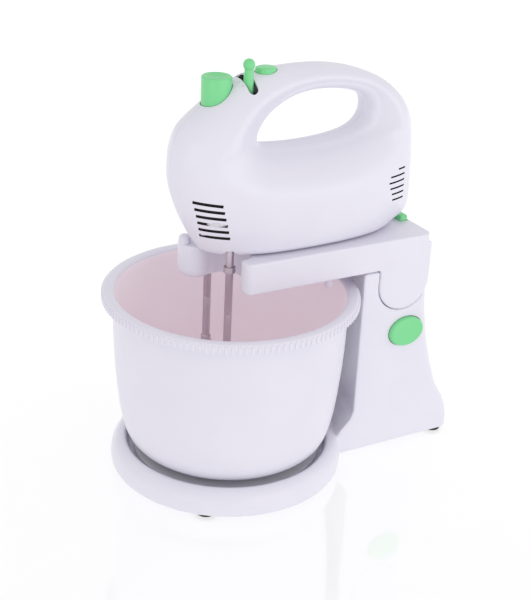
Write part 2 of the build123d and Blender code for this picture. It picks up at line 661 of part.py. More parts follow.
with BuildPart() as cord_grommet:
    with BuildSketch(Plane.YZ.offset(110)):
        with Locations((0, CORD_Z)):
            Circle(4.95)
            Circle(2.8, mode=Mode.SUBTRACT)
    extrude(amount=5.6)
    with BuildSketch(Plane.YZ.offset(115.6)):
        with Locations((0, CORD_Z)):
            Circle(6.5)
            Circle(2.8, mode=Mode.SUBTRACT)
    extrude(amount=1.6)
cord_grommet.part.label = "cord_grommet"
export_step(cord_grommet.part, "parts/cord_grommet.step")

# ---------------------------------------------------------------- controls
DISHED_R = 33.0            # radius of the eject button's hollow top
with BuildPart() as eject_button:
    with BuildSketch(Plane.XY.offset(EJECT_Z[0])):
        with Locations(EJECT):
            Circle(EJECT_R)
    extrude(amount=EJECT_Z[1] - EJECT_Z[0])
    chamfer(eject_button.edges().sort_by(Axis.Z)[-1], 1)
    with Locations((EJECT[0], EJECT[1], EJECT_Z[1] + DISHED_R - 2)):    # dished top
        Sphere(DISHED_R, mode=Mode.SUBTRACT)
eject_button.part.label = "eject_button"
export_step(eject_button.part, "parts/eject_button.step")

YOKE_Z = 272.0
SHAFT_TOP = 250.0          # top of the beaters' shafts
with BuildPart() as eject_yoke:
    with BuildSketch(Plane.XY.offset(YOKE_Z)):
        with Locations((BEATER_X - 2, 0)):
            RectangleRounded(12, 2 * BEATER_Y + 10, 3)
    extrude(amount=4)
    with BuildSketch(Plane.XY.offset(YOKE_Z)):
        with Locations((EJECT[0] + 4, EJECT[1])):
            Circle(3)
    extrude(amount=EJECT_Z[0] - YOKE_Z)
    with BuildSketch(Plane.XY.offset(SHAFT_TOP + 0.6)):
        with Locations((BEATER_X, BEATER_Y), (BEATER_X, -BEATER_Y)):
            Circle(2.4)
    extrude(amount=YOKE_Z - SHAFT_TOP - 0.6)
eject_yoke.part.label = "eject_yoke"
export_step(eject_yoke.part, "parts/eject_yoke.step")

LEVER_Z = (334.0, 354.5)   # plate of the lever, middle of its ball
with BuildPart() as speed_lever:
    with BuildSketch(Plane.XY.offset(LEVER_Z[0])):         # plate under the slot
        with Locations((LEVER_X, LEVER_Y)):
            RectangleRounded(11, 14, 2)
    extrude(amount=2.5)
    with BuildSketch(Plane.XY.offset(LEVER_Z[0] + 2)):
        with Locations((LEVER_X, LEVER_Y)):
            Ellipse(3.4, 4.2)
    with BuildSketch(Plane.XY.offset(LEVER_Z[1])):
        with Locations((LEVER_X, LEVER_Y)):
            Ellipse(3.2, 3.4)
    loft()
    with Locations((LEVER_X, LEVER_Y, LEVER_Z[1])):
        Sphere(4.8)
speed_lever.part.label = "speed_lever"
export_step(speed_lever.part, "parts/speed_lever.step")

with BuildPart() as turbo_button:
    with BuildSketch(Plane.XY.offset(338)):
        with Locations(TURBO):
            Ellipse(*TURBO_R)
    extrude(amount=12)
    fillet(turbo_button.edges().group_by(Axis.Z)[-1], 1.6)
turbo_button.part.label = "turbo_button"
export_step(turbo_button.part, "parts/turbo_button.step")

with BuildPart() as speed_switch:
    with Locations((LEVER_X + 1, -2, 323)):
        Box(20, 20, 12)
speed_switch.part.label = "speed_switch"
export_step(speed_switch.part, "parts/speed_switch.step")

# ---------------------------------------------------------------- motor and gearbox
MOTOR_X = 15.0             # middle of the laminated core
CORE_L = 34.0
CORE_BORE_R = 4.0          # what is pressed on the rotor shaft has this bore


def cross_plane(x):
    """A sketch plane across the motor axis at the given X: across is +Y, up is +Z."""
    return Plane(origin=(x, 0, MOTOR_Z), x_dir=(0, 1, 0), z_dir=(1, 0, 0))


with BuildPart() as stator:
    with BuildSketch(cross_plane(MOTOR_X - CORE_L / 2)):
        RectangleRounded(62, 52, 8)
        Circle(18.6, mode=Mode.SUBTRACT)
    extrude(amount=CORE_L)
stator.part.label = "stator"
export_step(stator.part, "parts/stator.step")

with BuildPart() as field_coils:
    for x in (MOTOR_X - CORE_L / 2 - 8, MOTOR_X + CORE_L / 2):
        with BuildSketch(cross_plane(x)):
            with Locations((0, 22), (0, -22)):
                RectangleRounded(34, 6, 2.5)
        extrude(amount=8)
field_coils.part.label = "field_coils"
export_step(field_coils.part, "parts/field_coils.step")

with BuildPart() as rotor_core:
    with BuildSketch(cross_plane(MOTOR_X - CORE_L / 2)):
        Circle(18)
        Circle(CORE_BORE_R, mode=Mode.SUBTRACT)
    extrude(amount=CORE_L)
rotor_core.part.label = "rotor_core"
export_step(rotor_core.part, "parts/rotor_core.step")

with BuildPart() as rotor_windings:
    for x in (MOTOR_X - CORE_L / 2 - 7, MOTOR_X + CORE_L / 2):
        with BuildSketch(cross_plane(x)):
            Circle(14)
            Circle(CORE_BORE_R, mode=Mode.SUBTRACT)
        extrude(amount=7)
rotor_windings.part.label = "rotor_windings"
export_step(rotor_windings.part, "parts/rotor_windings.step")

with BuildPart() as commutator:
    with BuildSketch(cross_plane(42)):
        Circle(10)
        Circle(CORE_BORE_R, mode=Mode.SUBTRACT)
    extrude(amount=13)
commutator.part.label = "commutator"
export_step(commutator.part, "parts/commutator.step")

FAN_X = 64.0
with BuildPart() as fan:
    with BuildSketch(cross_plane(FAN_X)):
        Circle(25)
        Circle(CORE_BORE_R, mode=Mode.SUBTRACT)
    extrude(amount=1.6)
    with BuildSketch(cross_plane(FAN_X)):
        Circle(8)
        Circle(CORE_BORE_R, mode=Mode.SUBTRACT)
    extrude(amount=9)
    with BuildSketch(cross_plane(FAN_X)):
        with PolarLocations(16, 9):
            Rectangle(17, 1.4)
    extrude(amount=9)
fan.part.label = "fan"
export_step(fan.part, "parts/fan.step")

WORM_R = 4.6
WHEEL_R = BEATER_Y - WORM_R - 0.25
HUB_Z = (209.0, 256.0)     # bottom and top of the worm wheels' hubs
HUB_R = 6.0
GEARBOX_Z = (233.0, 262.0)  # bottom of the gearbox frame and of its cover
COVER_T = 2.5
ROTOR_SHAFT_R = 3.0        # in its bearings
with BuildPart() as rotor_shaft:
    with BuildSketch(cross_plane(-84)):
        Circle(ROTOR_SHAFT_R)
    extrude(amount=162)
    with BuildSketch(cross_plane(-20)):                    # thicker through core and fan
        Circle(CORE_BORE_R)
    extrude(amount=94)
    with BuildSketch(cross_plane(-72)):
        Circle(WORM_R)
    extrude(amount=18)
rotor_shaft.part.label = "rotor_shaft"
export_step(rotor_shaft.part, "parts/rotor_shaft.step")

BEARING_X = (-83.0, -44.0, 75.0)
BEARING_R = 7.0
BEARING_T = 5.0
with BuildPart() as shaft_bearings:
    for x in BEARING_X:
        with BuildSketch(cross_plane(x)):
            Circle(BEARING_R)
            Circle(ROTOR_SHAFT_R + RUN, mode=Mode.SUBTRACT)
        extrude(amount=BEARING_T)
shaft_bearings.part.label = "shaft_bearings"
export_step(shaft_bearings.part, "parts/shaft_bearings.step")

with BuildPart() as bearing_brackets:
    for x, width, low in zip(BEARING_X, (30, 44, 50), (236, 236, 222)):
        with BuildSketch(Plane(origin=(x, 0, 0), x_dir=(0, 1, 0), z_dir=(1, 0, 0))):
            Polygon((-width / 2, low), (width / 2, low), (width / 2, GEARBOX_Z[1]),
                    (-width / 2, GEARBOX_Z[1]), align=None)
            with Locations((0, MOTOR_Z)):
                Circle(BEARING_R, mode=Mode.SUBTRACT)
        extrude(amount=BEARING_T)
bearing_brackets.part.label = "bearing_brackets"
export_step(bearing_brackets.part, "parts/bearing_brackets.step")

with BuildPart() as brush_holders:
    with Locations((48, 16, MOTOR_Z), (48, -16, MOTOR_Z)):
        Box(8, 11.4, 8)
brush_holders.part.label = "brush_holders"
export_step(brush_holders.part, "parts/brush_holders.step")

with BuildPart() as gearbox_frame:
    with BuildSketch(Plane.XY.offset(GEARBOX_Z[0])):
        with Locations((BEATER_X, 0)):
            RectangleRounded(46, 58, 10)
            with Locations((0, BEATER_Y), (0, -BEATER_Y)):
                Circle(HUB_R + RUN, mode=Mode.SUBTRACT)
    extrude(amount=3)
gearbox_frame.part.label = "gearbox_frame"
export_step(gearbox_frame.part, "parts/gearbox_frame.step")

with BuildPart() as gearbox_cover:
    with BuildSketch(Plane.XY.offset(GEARBOX_Z[1])):
        with Locations((BEATER_X, 0)):
            RectangleRounded(46, 56, 10)
            with Locations((0, BEATER_Y), (0, -BEATER_Y)):
                Circle(3, mode=Mode.SUBTRACT)
    extrude(amount=COVER_T)
gearbox_cover.part.label = "gearbox_cover"
export_step(gearbox_cover.part, "parts/gearbox_cover.step")

with BuildPart() as eject_spring:
    with BuildSketch(Plane.XY.offset(GEARBOX_Z[1] + COVER_T)):
        with Locations((BEATER_X - 2, 0)):
            Circle(5)
            Circle(4, mode=Mode.SUBTRACT)
    extrude(amount=YOKE_Z - GEARBOX_Z[1] - COVER_T)
eject_spring.part.label = "eject_spring"
export_step(eject_spring.part, "parts/eject_spring.step")

for side_name, y in (("left", BEATER_Y), ("right", -BEATER_Y)):
    with BuildPart() as worm_wheel:
        with BuildSketch(Plane.XY.offset(MOTOR_Z - 4)):
            Circle(WHEEL_R)
        extrude(amount=8)
        with BuildSketch(Plane.XY.offset(HUB_Z[0])):
            Circle(HUB_R)
        extrude(amount=HUB_Z[1] - HUB_Z[0])
        with BuildSketch(Plane.XY.offset(HUB_Z[0])):
            Circle(SHAFT_R + 0.15)
        extrude(amount=HUB_Z[1] - HUB_Z[0], mode=Mode.SUBTRACT)
    worm_wheel.part = worm_wheel.part.moved(Location((BEATER_X, y, 0)))
    worm_wheel.part.label = "worm_wheel_" + side_name
    export_step(worm_wheel.part, "parts/worm_wheel_" + side_name + ".step")

WIRE_R = 1.1
cage_path = ((2.6, CAGE_Z[1] - 1), (7, CAGE_Z[1] - 8), (CAGE_R, 88), (CAGE_R, 58),
             (9, CAGE_Z[0] + 1.2), (2, CAGE_Z[0] + 1.2))
for side_name, y, turn in (("left", BEATER_Y, 0), ("right", -BEATER_Y, 45)):
    with BuildPart() as beater:
        with BuildSketch(Plane.XY.offset(CAGE_Z[1] - 4)):
            Circle(SHAFT_R)
        extrude(amount=SHAFT_TOP - CAGE_Z[1] + 4)
        with BuildSketch(Plane.XY.offset(CAGE_Z[1] - 4)):
            Circle(4.2)
        extrude(amount=7)
        with BuildSketch(Plane.XY.offset(CAGE_Z[0])):
            Circle(3.5)
        extrude(amount=2.6)
        for k in range(4):
            bearing = radians(turn + 90 * k)
            points = [(r * cos(bearing), r * sin(bearing), z) for r, z in cage_path]
            with BuildLine() as wire:
                FilletPolyline(*points, radius=5)
            with BuildSketch(Plane(origin=wire.line @ 0, z_dir=wire.line % 0)):
                Circle(WIRE_R)
            sweep(path=wire.line)
        if side_name == "right":
            with BuildSketch(Plane.XY.offset(188)):
                Circle(5)
            extrude(amount=5)
    beater.part = beater.part.moved(Location((BEATER_X, y, 0)))
    beater.part.label = "beater_" + side_name
    export_step(beater.part, "parts/beater_" + side_name + ".step")

with BuildPart() as mixer_screws:
    for x, z in ((-30, 214), (60, 216), (85, 290), (-90, 270)):
        with BuildSketch(side_plane(x, 12, z)):
            Circle(1.5)
        extrude(amount=24)
mixer_screws.part.label = "mixer_screws"
export_step(mixer_screws.part, "parts/mixer_screws.step")
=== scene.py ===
# %% [markdown]
# # A stand mixer, piece by piece
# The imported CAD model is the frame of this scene.  It is loaded first, and every piece made
# below is placed from the boxes of its nodes, so that nothing has to be fitted by eye.  Lengths
# are written in millimetres and turned into Blender's metres at the last moment.

# %% Load the frame
import json
from math import atan2, cos, pi, radians, sin, sqrt

import bmesh
import bpy
import numpy as np
from mathutils import Matrix, Vector


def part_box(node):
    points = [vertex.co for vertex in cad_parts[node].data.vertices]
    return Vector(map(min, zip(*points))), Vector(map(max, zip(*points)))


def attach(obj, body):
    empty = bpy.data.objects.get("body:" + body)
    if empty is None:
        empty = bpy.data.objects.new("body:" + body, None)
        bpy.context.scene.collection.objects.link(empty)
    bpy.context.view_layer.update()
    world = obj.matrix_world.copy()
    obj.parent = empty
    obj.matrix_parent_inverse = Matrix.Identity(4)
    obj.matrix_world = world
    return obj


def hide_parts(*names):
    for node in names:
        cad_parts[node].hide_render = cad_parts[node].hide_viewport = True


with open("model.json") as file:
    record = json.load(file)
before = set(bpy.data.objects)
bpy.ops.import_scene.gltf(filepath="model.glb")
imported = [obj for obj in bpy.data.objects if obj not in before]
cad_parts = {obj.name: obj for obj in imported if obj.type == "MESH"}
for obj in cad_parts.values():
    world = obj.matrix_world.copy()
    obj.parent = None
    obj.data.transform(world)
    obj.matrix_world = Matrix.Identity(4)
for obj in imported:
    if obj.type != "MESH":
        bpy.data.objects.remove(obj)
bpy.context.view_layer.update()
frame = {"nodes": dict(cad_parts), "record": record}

MM = 0.001


def low(node):
    """Lowest corner of a CAD node, in millimetres."""
    return np.array(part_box(node)[0]) / MM


def high(node):
    """Highest corner of a CAD node, in millimetres."""
    return np.array(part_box(node)[1]) / MM


def middle(node):
    return (low(node) + high(node)) / 2


BOWL_X = middle("bowl")[0]
BEATER_X = middle("beater_left")[0]
BEATER_Y = middle("beater_left")[1]
BODY_BOTTOM = low("mixer_shell_left")[2]
ARM_TOP = high("arm_deck")[2]
HINGE_X, _, HINGE_Z = middle("hinge_pin")
print("bowl axis", round(BOWL_X, 1), "hinge", round(HINGE_X, 1), round(HINGE_Z, 1))

# %% [markdown]
# ## Camera
# The camera comes first, so that every later piece is judged in its final view.  It stands in
# front of the nose, to the near side, and looks down by about 25 degrees with a small roll.  A
# long lens keeps the base and the head in the same scale, as in product photography.

# %% Set up the camera
EYE = Vector((-518.2, -849.2, 599.6)) * MM
BACK = Vector((-0.4621, -0.7824, 0.4175))
RIGHT = Vector((0.8610, -0.5086, 0.0))
UP = Vector((0.2123, 0.3595, 0.9087))
ROLL = radians(-2.90)
across = RIGHT * cos(ROLL) - UP * sin(ROLL)
upward = RIGHT * sin(ROLL) + UP * cos(ROLL)
camera = bpy.data.objects.new("camera", bpy.data.cameras.new("camera"))
bpy.context.scene.collection.objects.link(camera)
turn = Matrix((across, upward, BACK)).transposed().to_4x4()
camera.matrix_world = Matrix.Translation(EYE) @ turn
camera.data.sensor_width = 36
camera.data.lens = 76.6
camera.data.clip_start, camera.data.clip_end = 0.05, 20
bpy.context.scene.camera = camera
print("camera", round(EYE.length, 3), "m from the middle of the footprint")

# %% [markdown]
# ## Shader sums
# A finish is a small graph.  Written node by node it is long and hard to read, so one class
# wraps a socket and turns +, - and * into Math nodes, also when the number comes first, as in
# 1 - mask.  Colours never go through it, because a Math node would turn them grey.

# %% Wrap a socket so that it can be used in sums
class Wire:
    def __init__(self, finish, socket):
        self.finish, self.socket = finish, socket

    def _sum(self, operation, first, second):
        return self.finish.node("ShaderNodeMath", {"operation": operation}, {0: first, 1: second})

    def __add__(self, other):
        return self._sum("ADD", self, other)

    def __sub__(self, other):
        return self._sum("SUBTRACT", self, other)

    def __rsub__(self, other):
        return self._sum("SUBTRACT", other, self)

    def __mul__(self, other):
        return self._sum("MULTIPLY", self, other)

    __radd__, __rmul__ = __add__, __mul__


class Finish:
    """A material under construction: node() adds any node and wires it."""

    def __init__(self, name):
        self.material = bpy.data.materials.new(name)
        self.material.use_nodes = True
        self.tree = self.material.node_tree
        self.tree.nodes.clear()
        self.place = self.node("ShaderNodeTexCoord", output="Object")

    def node(self, kind, settings=None, sockets=None, output=0):
        made = self.tree.nodes.new(kind)
        for key, value in (settings or {}).items():
            setattr(made, key, value)
        for key, value in (sockets or {}).items():
            if isinstance(value, Wire):
                self.tree.links.new(value.socket, made.inputs[key])
            else:
                made.inputs[key].default_value = value
        return Wire(self, made.outputs[output])

    def noise(self, size, detail=2.0, rough=0.5):
        """Noise whose lumps are about `size` millimetres across."""
        return self.node("ShaderNodeTexNoise", None, {
            "Vector": self.place, "Scale": 1000.0 / size, "Detail": detail, "Roughness": rough})

    def between(self, factor, dark, light):
        """A colour between two, by a factor."""
        return self.node("ShaderNodeMix", {"data_type": "RGBA"},
                         {0: factor, 6: (*dark, 1), 7: (*light, 1)}, output=2)

    def bump(self, height, deep):
        """A normal pushed about by a height map that is `deep` millimetres deep."""
        return self.node("ShaderNodeBump", None, {
            "Height": height, "Strength": 1.0, "Distance": deep * MM})

    def surface(self, **sockets):
        """The shader itself; constants go straight onto its sockets."""
        names = {key.replace("_", " "): value for key, value in sockets.items()}
        shader = self.node("ShaderNodeBsdfPrincipled", None, names)
        out = self.tree.nodes.new("ShaderNodeOutputMaterial")
        self.tree.links.new(shader.socket, out.inputs["Surface"])
        return self.material


def srgb(red, green, blue):
    """A display colour, 0 to 255, as the linear colour that shaders use."""
    return tuple(((v / 255 + 0.055) / 1.055) ** 2.4 if v > 10 else v / 3295
                 for v in (red, green, blue))


# %% [markdown]
# ## Finishes
# The shells are glossy moulded plastic.  What separates it from a flat white is small: a slow
# drift of tone over the moulding, a faint unevenness under the gloss that breaks highlights, and
# a gloss that is a little duller where hands touch.  All plastics here share one recipe.  The bowl
# is thin enough to let light through, and a weak pink glow and a warmer pink colour on its inside
# are painted light that stands for it.

# %% Moulded plastics
def moulded(name, dark, light, gloss, ripple=0.012, coat=0.25, **fixed):
    finish = Finish(name)
    drift = finish.noise(45, 2.0)
    fine = finish.noise(0.9, 3.0, 0.6)
    waves = finish.noise(14, 1.0)
    smear = finish.noise(26, 4.0, 0.65)
    return finish.surface(
        Base_Color=finish.between(drift, dark, light),
        Roughness=gloss + 0.07 * smear + 0.02 * fine,
        Normal=finish.bump(fine * ripple + waves * (3 * ripple), 1.0),
        Coat_Weight=coat, Coat_Roughness=0.12, IOR=1.5, **fixed)


SHELL = moulded("shell_plastic", srgb(228, 225, 238), srgb(234, 232, 242), 0.30)
BOWL = moulded("bowl_plastic", srgb(227, 224, 237), srgb(233, 230, 241), 0.33, coat=0.15)
# Painted light on the bowl's inside: a pink glow and a warmer pink base colour, for the light that
# comes through the thin wall.
GLOW = {"Emission_Color": (1.0, 0.84, 0.92, 1.0), "Emission_Strength": 0.155}
BOWL_IN_PAINTED_LIGHT = moulded("bowl_inside_painted_light", srgb(225, 216, 221), srgb(230, 221, 226), 0.42, coat=0.0, **GLOW)
GREEN = moulded("green_plastic", srgb(118, 216, 143), srgb(128, 222, 152), 0.30)
# The green plastic again, darker: painted shade for the plate down in the speed slot.
GREEN_PAINTED_SHADE = moulded("green_painted_shade", srgb(48, 140, 74), srgb(56, 150, 82), 0.35)
INNER = moulded("inner_plastic", srgb(206, 206, 212), srgb(216, 216, 220), 0.50, coat=0.0)
BLACK = moulded("black_plastic", srgb(28, 28, 32), srgb(36, 36, 40), 0.45, coat=0.0)
# Near-black painted shade: the walls of slots, pockets and holes take it in place of the shade
# inside them.
SHADOW = moulded("slot_shadow", srgb(12, 12, 16), srgb(18, 18, 22), 0.70, coat=0.0)
NYLON = moulded("nylon_gear", srgb(226, 222, 206), srgb(236, 232, 218), 0.45, coat=0.0)
RUBBER = moulded("rubber", srgb(34, 34, 38), srgb(44, 44, 48), 0.75, ripple=0.03, coat=0.0)
INK = moulded("grey_ink", srgb(120, 120, 132), srgb(130, 130, 142), 0.5, coat=0.0)
print("plastics", len(bpy.data.materials))

# %% [markdown]
# ## Metals
# Drawn and turned metal carries fine scratches round or along the part.  Noise that is squeezed
# in one direction gives them, and they drive the gloss and a very shallow bump.

# %% Metals
def metal(name, dark, light, gloss, squeeze, groove=0.004):
    finish = Finish(name)
    stretched = finish.node("ShaderNodeMapping", None, {"Vector": finish.place, "Scale": squeeze})
    scratch = finish.node("ShaderNodeTexNoise", None, {
        "Vector": stretched, "Scale": 900.0, "Detail": 3.0})
    patch = finish.noise(18, 3.0)
    return finish.surface(
        Base_Color=finish.between(patch, dark, light), Metallic=1.0,
        Roughness=gloss + 0.14 * scratch + 0.05 * patch,
        Normal=finish.bump(scratch, groove))


BEATER = metal("beater_steel", srgb(186, 174, 182), srgb(208, 198, 205), 0.24, (1, 1, 0.03))
STEEL = metal("steel", srgb(176, 176, 182), srgb(198, 198, 204), 0.25, (1, 1, 0.1))
BRONZE = metal("bronze", srgb(168, 122, 74), srgb(188, 142, 92), 0.35, (1, 1, 1))
IRON = metal("laminated_steel", srgb(110, 112, 118), srgb(134, 136, 142), 0.45, (4, 0.02, 0.02))
COPPER = metal("copper_wire", srgb(176, 92, 50), srgb(200, 112, 64), 0.30, (3, 0.1, 0.1), 0.05)
print("finishes", len(bpy.data.materials))

# %% [markdown]
# The finishes of the CAD nodes that stay as they are come from the record's material slots, so
# each node gets the one its slot names.

# %% Give every CAD node the finish of its slot
SLOT_FINISH = {
    "white_shell": SHELL, "bowl_plastic": BOWL, "green_plastic": GREEN, "inner_plastic": INNER,
    "rubber": RUBBER, "steel": STEEL, "beater_steel": BEATER, "nylon_gear": NYLON,
    "bronze": BRONZE, "laminated_steel": IRON, "copper_wire": COPPER, "black_plastic": BLACK,
}
SLOT_OF = {part["node"]: part["material_slot"] for part in frame["record"]["subparts"]}
for node_name, node in frame["nodes"].items():
    node.data.materials.clear()
    node.data.materials.append(SLOT_FINISH[SLOT_OF[node_name]])
print("CAD nodes finished", len(frame["nodes"]))

# %% [markdown]
# ## Helpers for meshes
# A piece is a list of points and faces.  Neighbouring rings leave doubled points at poles and
# seams, so each mesh is merged by distance and its normals are turned outwards before it rides
# on its body.

# %% Make a piece from points and faces
def build(name, points, faces, finish=None, merge=0.01):
    """A mesh object from points in millimetres, merged and with its faces turned outwards."""
    mesh = bpy.data.meshes.new(name)
    mesh.from_pydata([tuple(float(v) * MM for v in p) for p in points], [], faces)
    shape = bmesh.new()
    shape.from_mesh(mesh)
    bmesh.ops.remove_doubles(shape, verts=shape.verts, dist=merge * MM)
    bmesh.ops.dissolve_degenerate(shape, edges=shape.edges, dist=merge * MM / 2)
    bmesh.ops.recalc_face_normals(shape, faces=shape.faces)
    shape.to_mesh(mesh)
    shape.free()
    made = bpy.data.objects.new(name, mesh)
    bpy.context.scene.collection.objects.link(made)
    if finish:
        mesh.materials.append(finish)
    return made


def outwards(made):
    """Turns every face of an object outwards."""
    shape = bmesh.new()
    shape.from_mesh(made.data)
    bmesh.ops.recalc_face_normals(shape, faces=shape.faces)
    shape.to_mesh(made.data)
    shape.free()
    return made


def settle(made):
    """Replaces an object's mesh by what its modifiers make of it."""
    graph = bpy.context.evaluated_depsgraph_get()
    mesh = bpy.data.meshes.new_from_object(made.evaluated_get(graph))
    made.modifiers.clear()
    made.data = mesh
    return made


def mount(made, body, slot, *stands_for, soft=40):
    """Shades a finished piece, puts it on its body and hides the CAD nodes it stands for."""
    for face in made.data.polygons:
        face.use_smooth = True
    made.data.set_sharp_from_angle(angle=radians(soft))
    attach(made, body)
    if stands_for:
        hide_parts(*stands_for)
    print(made.name, len(made.data.polygons), "faces, on", body)
    return made


# %% [markdown]
# Most moulded parts are either turned about an axis or pushed straight through, so two makers
# cover them.  Corners are rounded in the outline itself, which keeps the faces few and even.

# %% Turn an outline, or push it through
def turned(outline, steps, centre=(0, 0), closed=False, stretch=(1, 1)):
    """An outline of (radius, height) turned about a vertical axis at `centre`."""
    points, faces, n = [], [], len(outline)
    for k in range(steps):
        a = 2 * pi * k / steps
        points += [(centre[0] + stretch[0] * r * cos(a), centre[1] + stretch[1] * r * sin(a), z)
                   for r, z in outline]
        following = (k + 1) % steps
        faces += [(k * n + i, following * n + i, following * n + (i + 1) % n, k * n + (i + 1) % n)
                  for i in range(n if closed else n - 1)]
    return points, faces


def rounded(corners, steps=5):
    """An outline with its corners rounded: each corner is (u, v, radius)."""
    out, n = [], len(corners)
    for k, (u, v, r) in enumerate(corners):
        here = Vector((u, v))
        to_last = (Vector(corners[k - 1][:2]) - here)
        to_next = (Vector(corners[(k + 1) % n][:2]) - here)
        if r <= 0 or to_last.length < 1e-6 or to_next.length < 1e-6:
            out.append((u, v))
            continue
        a, b = to_last.normalized(), to_next.normalized()
        half_angle = a.angle(b) / 2
        if half_angle > radians(88):
            out.append((u, v))
            continue
        reach = min(r / np.tan(half_angle), to_last.length * 0.49, to_next.length * 0.49)
        radius = reach * np.tan(half_angle)
        centre = here + (a + b).normalized() * (radius / sin(half_angle))
        first, last = here + a * reach - centre, here + b * reach - centre
        sweep = first.angle_signed(last)
        for i in range(steps + 1):
            spoke = Matrix.Rotation(-sweep * i / steps, 2) @ first
            out.append(tuple(centre + spoke))
    return out


def pushed(outline, start, stop, axis="Z"):
    """A closed outline pushed through from `start` to `stop` along Z or along Y."""
    n = len(outline)
    place = (lambda u, v, w: (u, v, w)) if axis == "Z" else (lambda u, v, w: (u, w, v))
    points = [place(u, v, w) for w in (start, stop) for u, v in outline]
    faces = [(i, (i + 1) % n, n + (i + 1) % n, n + i) for i in range(n)]
    return points, faces + [tuple(range(n)), tuple(range(n, 2 * n))]


def stacked(heights, outlines):
    """Level outlines, all with the same number of points, joined upwards and closed."""
    n = len(outlines[0])
    points = [(u, v, z) for z, outline in zip(heights, outlines) for u, v in outline]
    faces = [(k * n + i, k * n + (i + 1) % n, (k + 1) * n + (i + 1) % n, (k + 1) * n + i)
             for k in range(len(outlines) - 1) for i in range(n)]
    last = (len(outlines) - 1) * n
    return points, faces + [tuple(range(n)), tuple(range(last, last + n))]


def together(*shapes):
    """Several (points, faces) as one."""
    points, faces = [], []
    for some_points, some_faces in shapes:
        faces += [tuple(i + len(points) for i in face) for face in some_faces]
        points += some_points
    return points, faces


# %% [markdown]
# A cut is a Boolean modifier with a cutter that is thrown away afterwards.  The cutter's own
# finish lines the cut, which is how the cooling slots get their dark walls of painted shade.
# Mouldings that run into each other are fused by a voxel remesh, and a few smoothing steps then
# give the joint and every edge the small radius that a mould has.

# %% Cut, join and fuse
def cut(made, cutter):
    step = made.modifiers.new("Cut", "BOOLEAN")
    step.operation, step.solver, step.object = "DIFFERENCE", "EXACT", cutter
    step.material_mode = "TRANSFER"
    settle(made)
    bpy.data.objects.remove(cutter)
    return made


def join(made, other):
    """Makes one object of two, under the name of the first."""
    with bpy.context.temp_override(active_object=made, selected_editable_objects=[made, other]):
        bpy.ops.object.join()


def fuse(made, voxel, passes):
    step = made.modifiers.new("Fuse", "REMESH")
    step.mode, step.voxel_size = "VOXEL", voxel * MM
    soften = made.modifiers.new("Soften", "SMOOTH")
    soften.factor, soften.iterations = 0.5, passes
    finish = made.data.materials[0]
    settle(made)
    made.data.materials.clear()
    made.data.materials.append(finish)
    return made


# %% [markdown]
# ## Stand
# Base dish and column are one family of mouldings: a round dish with a raised ring, and a column
# whose front is hollowed round the bowl.  The column is a stack of level sections, each with a
# hollow front and rounded rear corners; its rear leans in as it rises.  Dish and column are then
# fused, so that the column's foot flows into the ring as it does on the real moulding.

# %% Outline of the column at one level
COLUMN_HALF = 44.0
COLUMN_CORNER = 9.0
REAR = ((3, 162.0), (15, 161.4), (24, 159.3), (32.4, 156), (50.5, 145), (73, 137), (99, 129.6),
        (130, 124), (149, 122.4), (175, 121.5))
SCOOP = ((3, 98), (22, 98), (27, 101), (31, 105), (36, 109.5), (44, 112), (175, 112))


def at_level(z, table):
    return float(np.interp(z, [row[0] for row in table], [row[1] for row in table]))


def column_section(z):
    scoop, rear = at_level(z, SCOOP), at_level(z, REAR)
    arc = atan2(COLUMN_HALF, sqrt(scoop ** 2 - COLUMN_HALF ** 2))
    front = [(BOWL_X + scoop * cos(a), scoop * sin(a)) for a in np.linspace(-arc, arc, 17)]
    back = []
    for side, start in ((1, 90), (-1, 0)):
        for k in range(7):
            a = radians(start - 15 * k)
            back.append((rear - COLUMN_CORNER + COLUMN_CORNER * cos(a),
                         side * (COLUMN_HALF - COLUMN_CORNER) + COLUMN_CORNER * sin(a)))
    return front + back


# %% Cheek of the arm, seen from the side
ARM_REAR = high("arm_shell")[0]
CHEEK_R = ARM_REAR - HINGE_X


def cheek_outline(grow, top):
    radius = CHEEK_R + grow
    arc = [(HINGE_X + radius * cos(a), HINGE_Z + radius * sin(a))
           for a in np.linspace(-pi, 0, 33)]
    return [(HINGE_X - radius, top), *arc, (HINGE_X + radius, top)]


# %% Fuse dish and column
levels = [3, 8, 15, 22, 24, 27, 29, 31, 33.5, 36, 40, 44, 50.5, 60, 73, 86, 99, 115, 130, 149, 175]
column = build("stand_moulding", *stacked(levels, [column_section(z) for z in levels]), SHELL)
SADDLE_GAP = 0.5
saddle_outline = cheek_outline(SADDLE_GAP, levels[-1] + 15)
saddle = build("saddle_cutter", *pushed(saddle_outline, -60, 60, "Y"), SHELL)
cut(column, saddle)
dish_low, dish_high = low("base_dish"), high("base_dish")
DISH_R = (dish_high[0] - dish_low[0]) / 2
DISH = [(0, 3), (DISH_R - 1.5, 3), (DISH_R - 0.4, 5.0), (DISH_R, 8.5), (DISH_R - 0.2, 13),
        (DISH_R - 1.2, 17.5), (DISH_R - 3.3, 21.5), (DISH_R - 6.3, 24.2), (DISH_R - 9.6, 25.6),
        (88.6, 25.6), (86.8, 24.6), (86.0, 14), (0, 14)]
dish = build("dish_form", *turned(DISH, 160, (BOWL_X, 0)), SHELL)
bpy.context.view_layer.update()
join(column, dish)
fuse(column, voxel=1.5, passes=9)

# %% [markdown]
# The oval tilt button works in a pocket of its own, so the pocket is cut after the fusing and
# keeps its crisp rim.

# %% Cut the pocket of the tilt button
BUTTON = middle("tilt_button")
BUTTON_A = (high("tilt_button")[0] - low("tilt_button")[0]) / 2
BUTTON_B = (high("tilt_button")[2] - low("tilt_button")[2]) / 2


def oval(a, b, steps=72):
    return [(a * cos(2 * pi * k / steps), b * sin(2 * pi * k / steps)) for k in range(steps)]


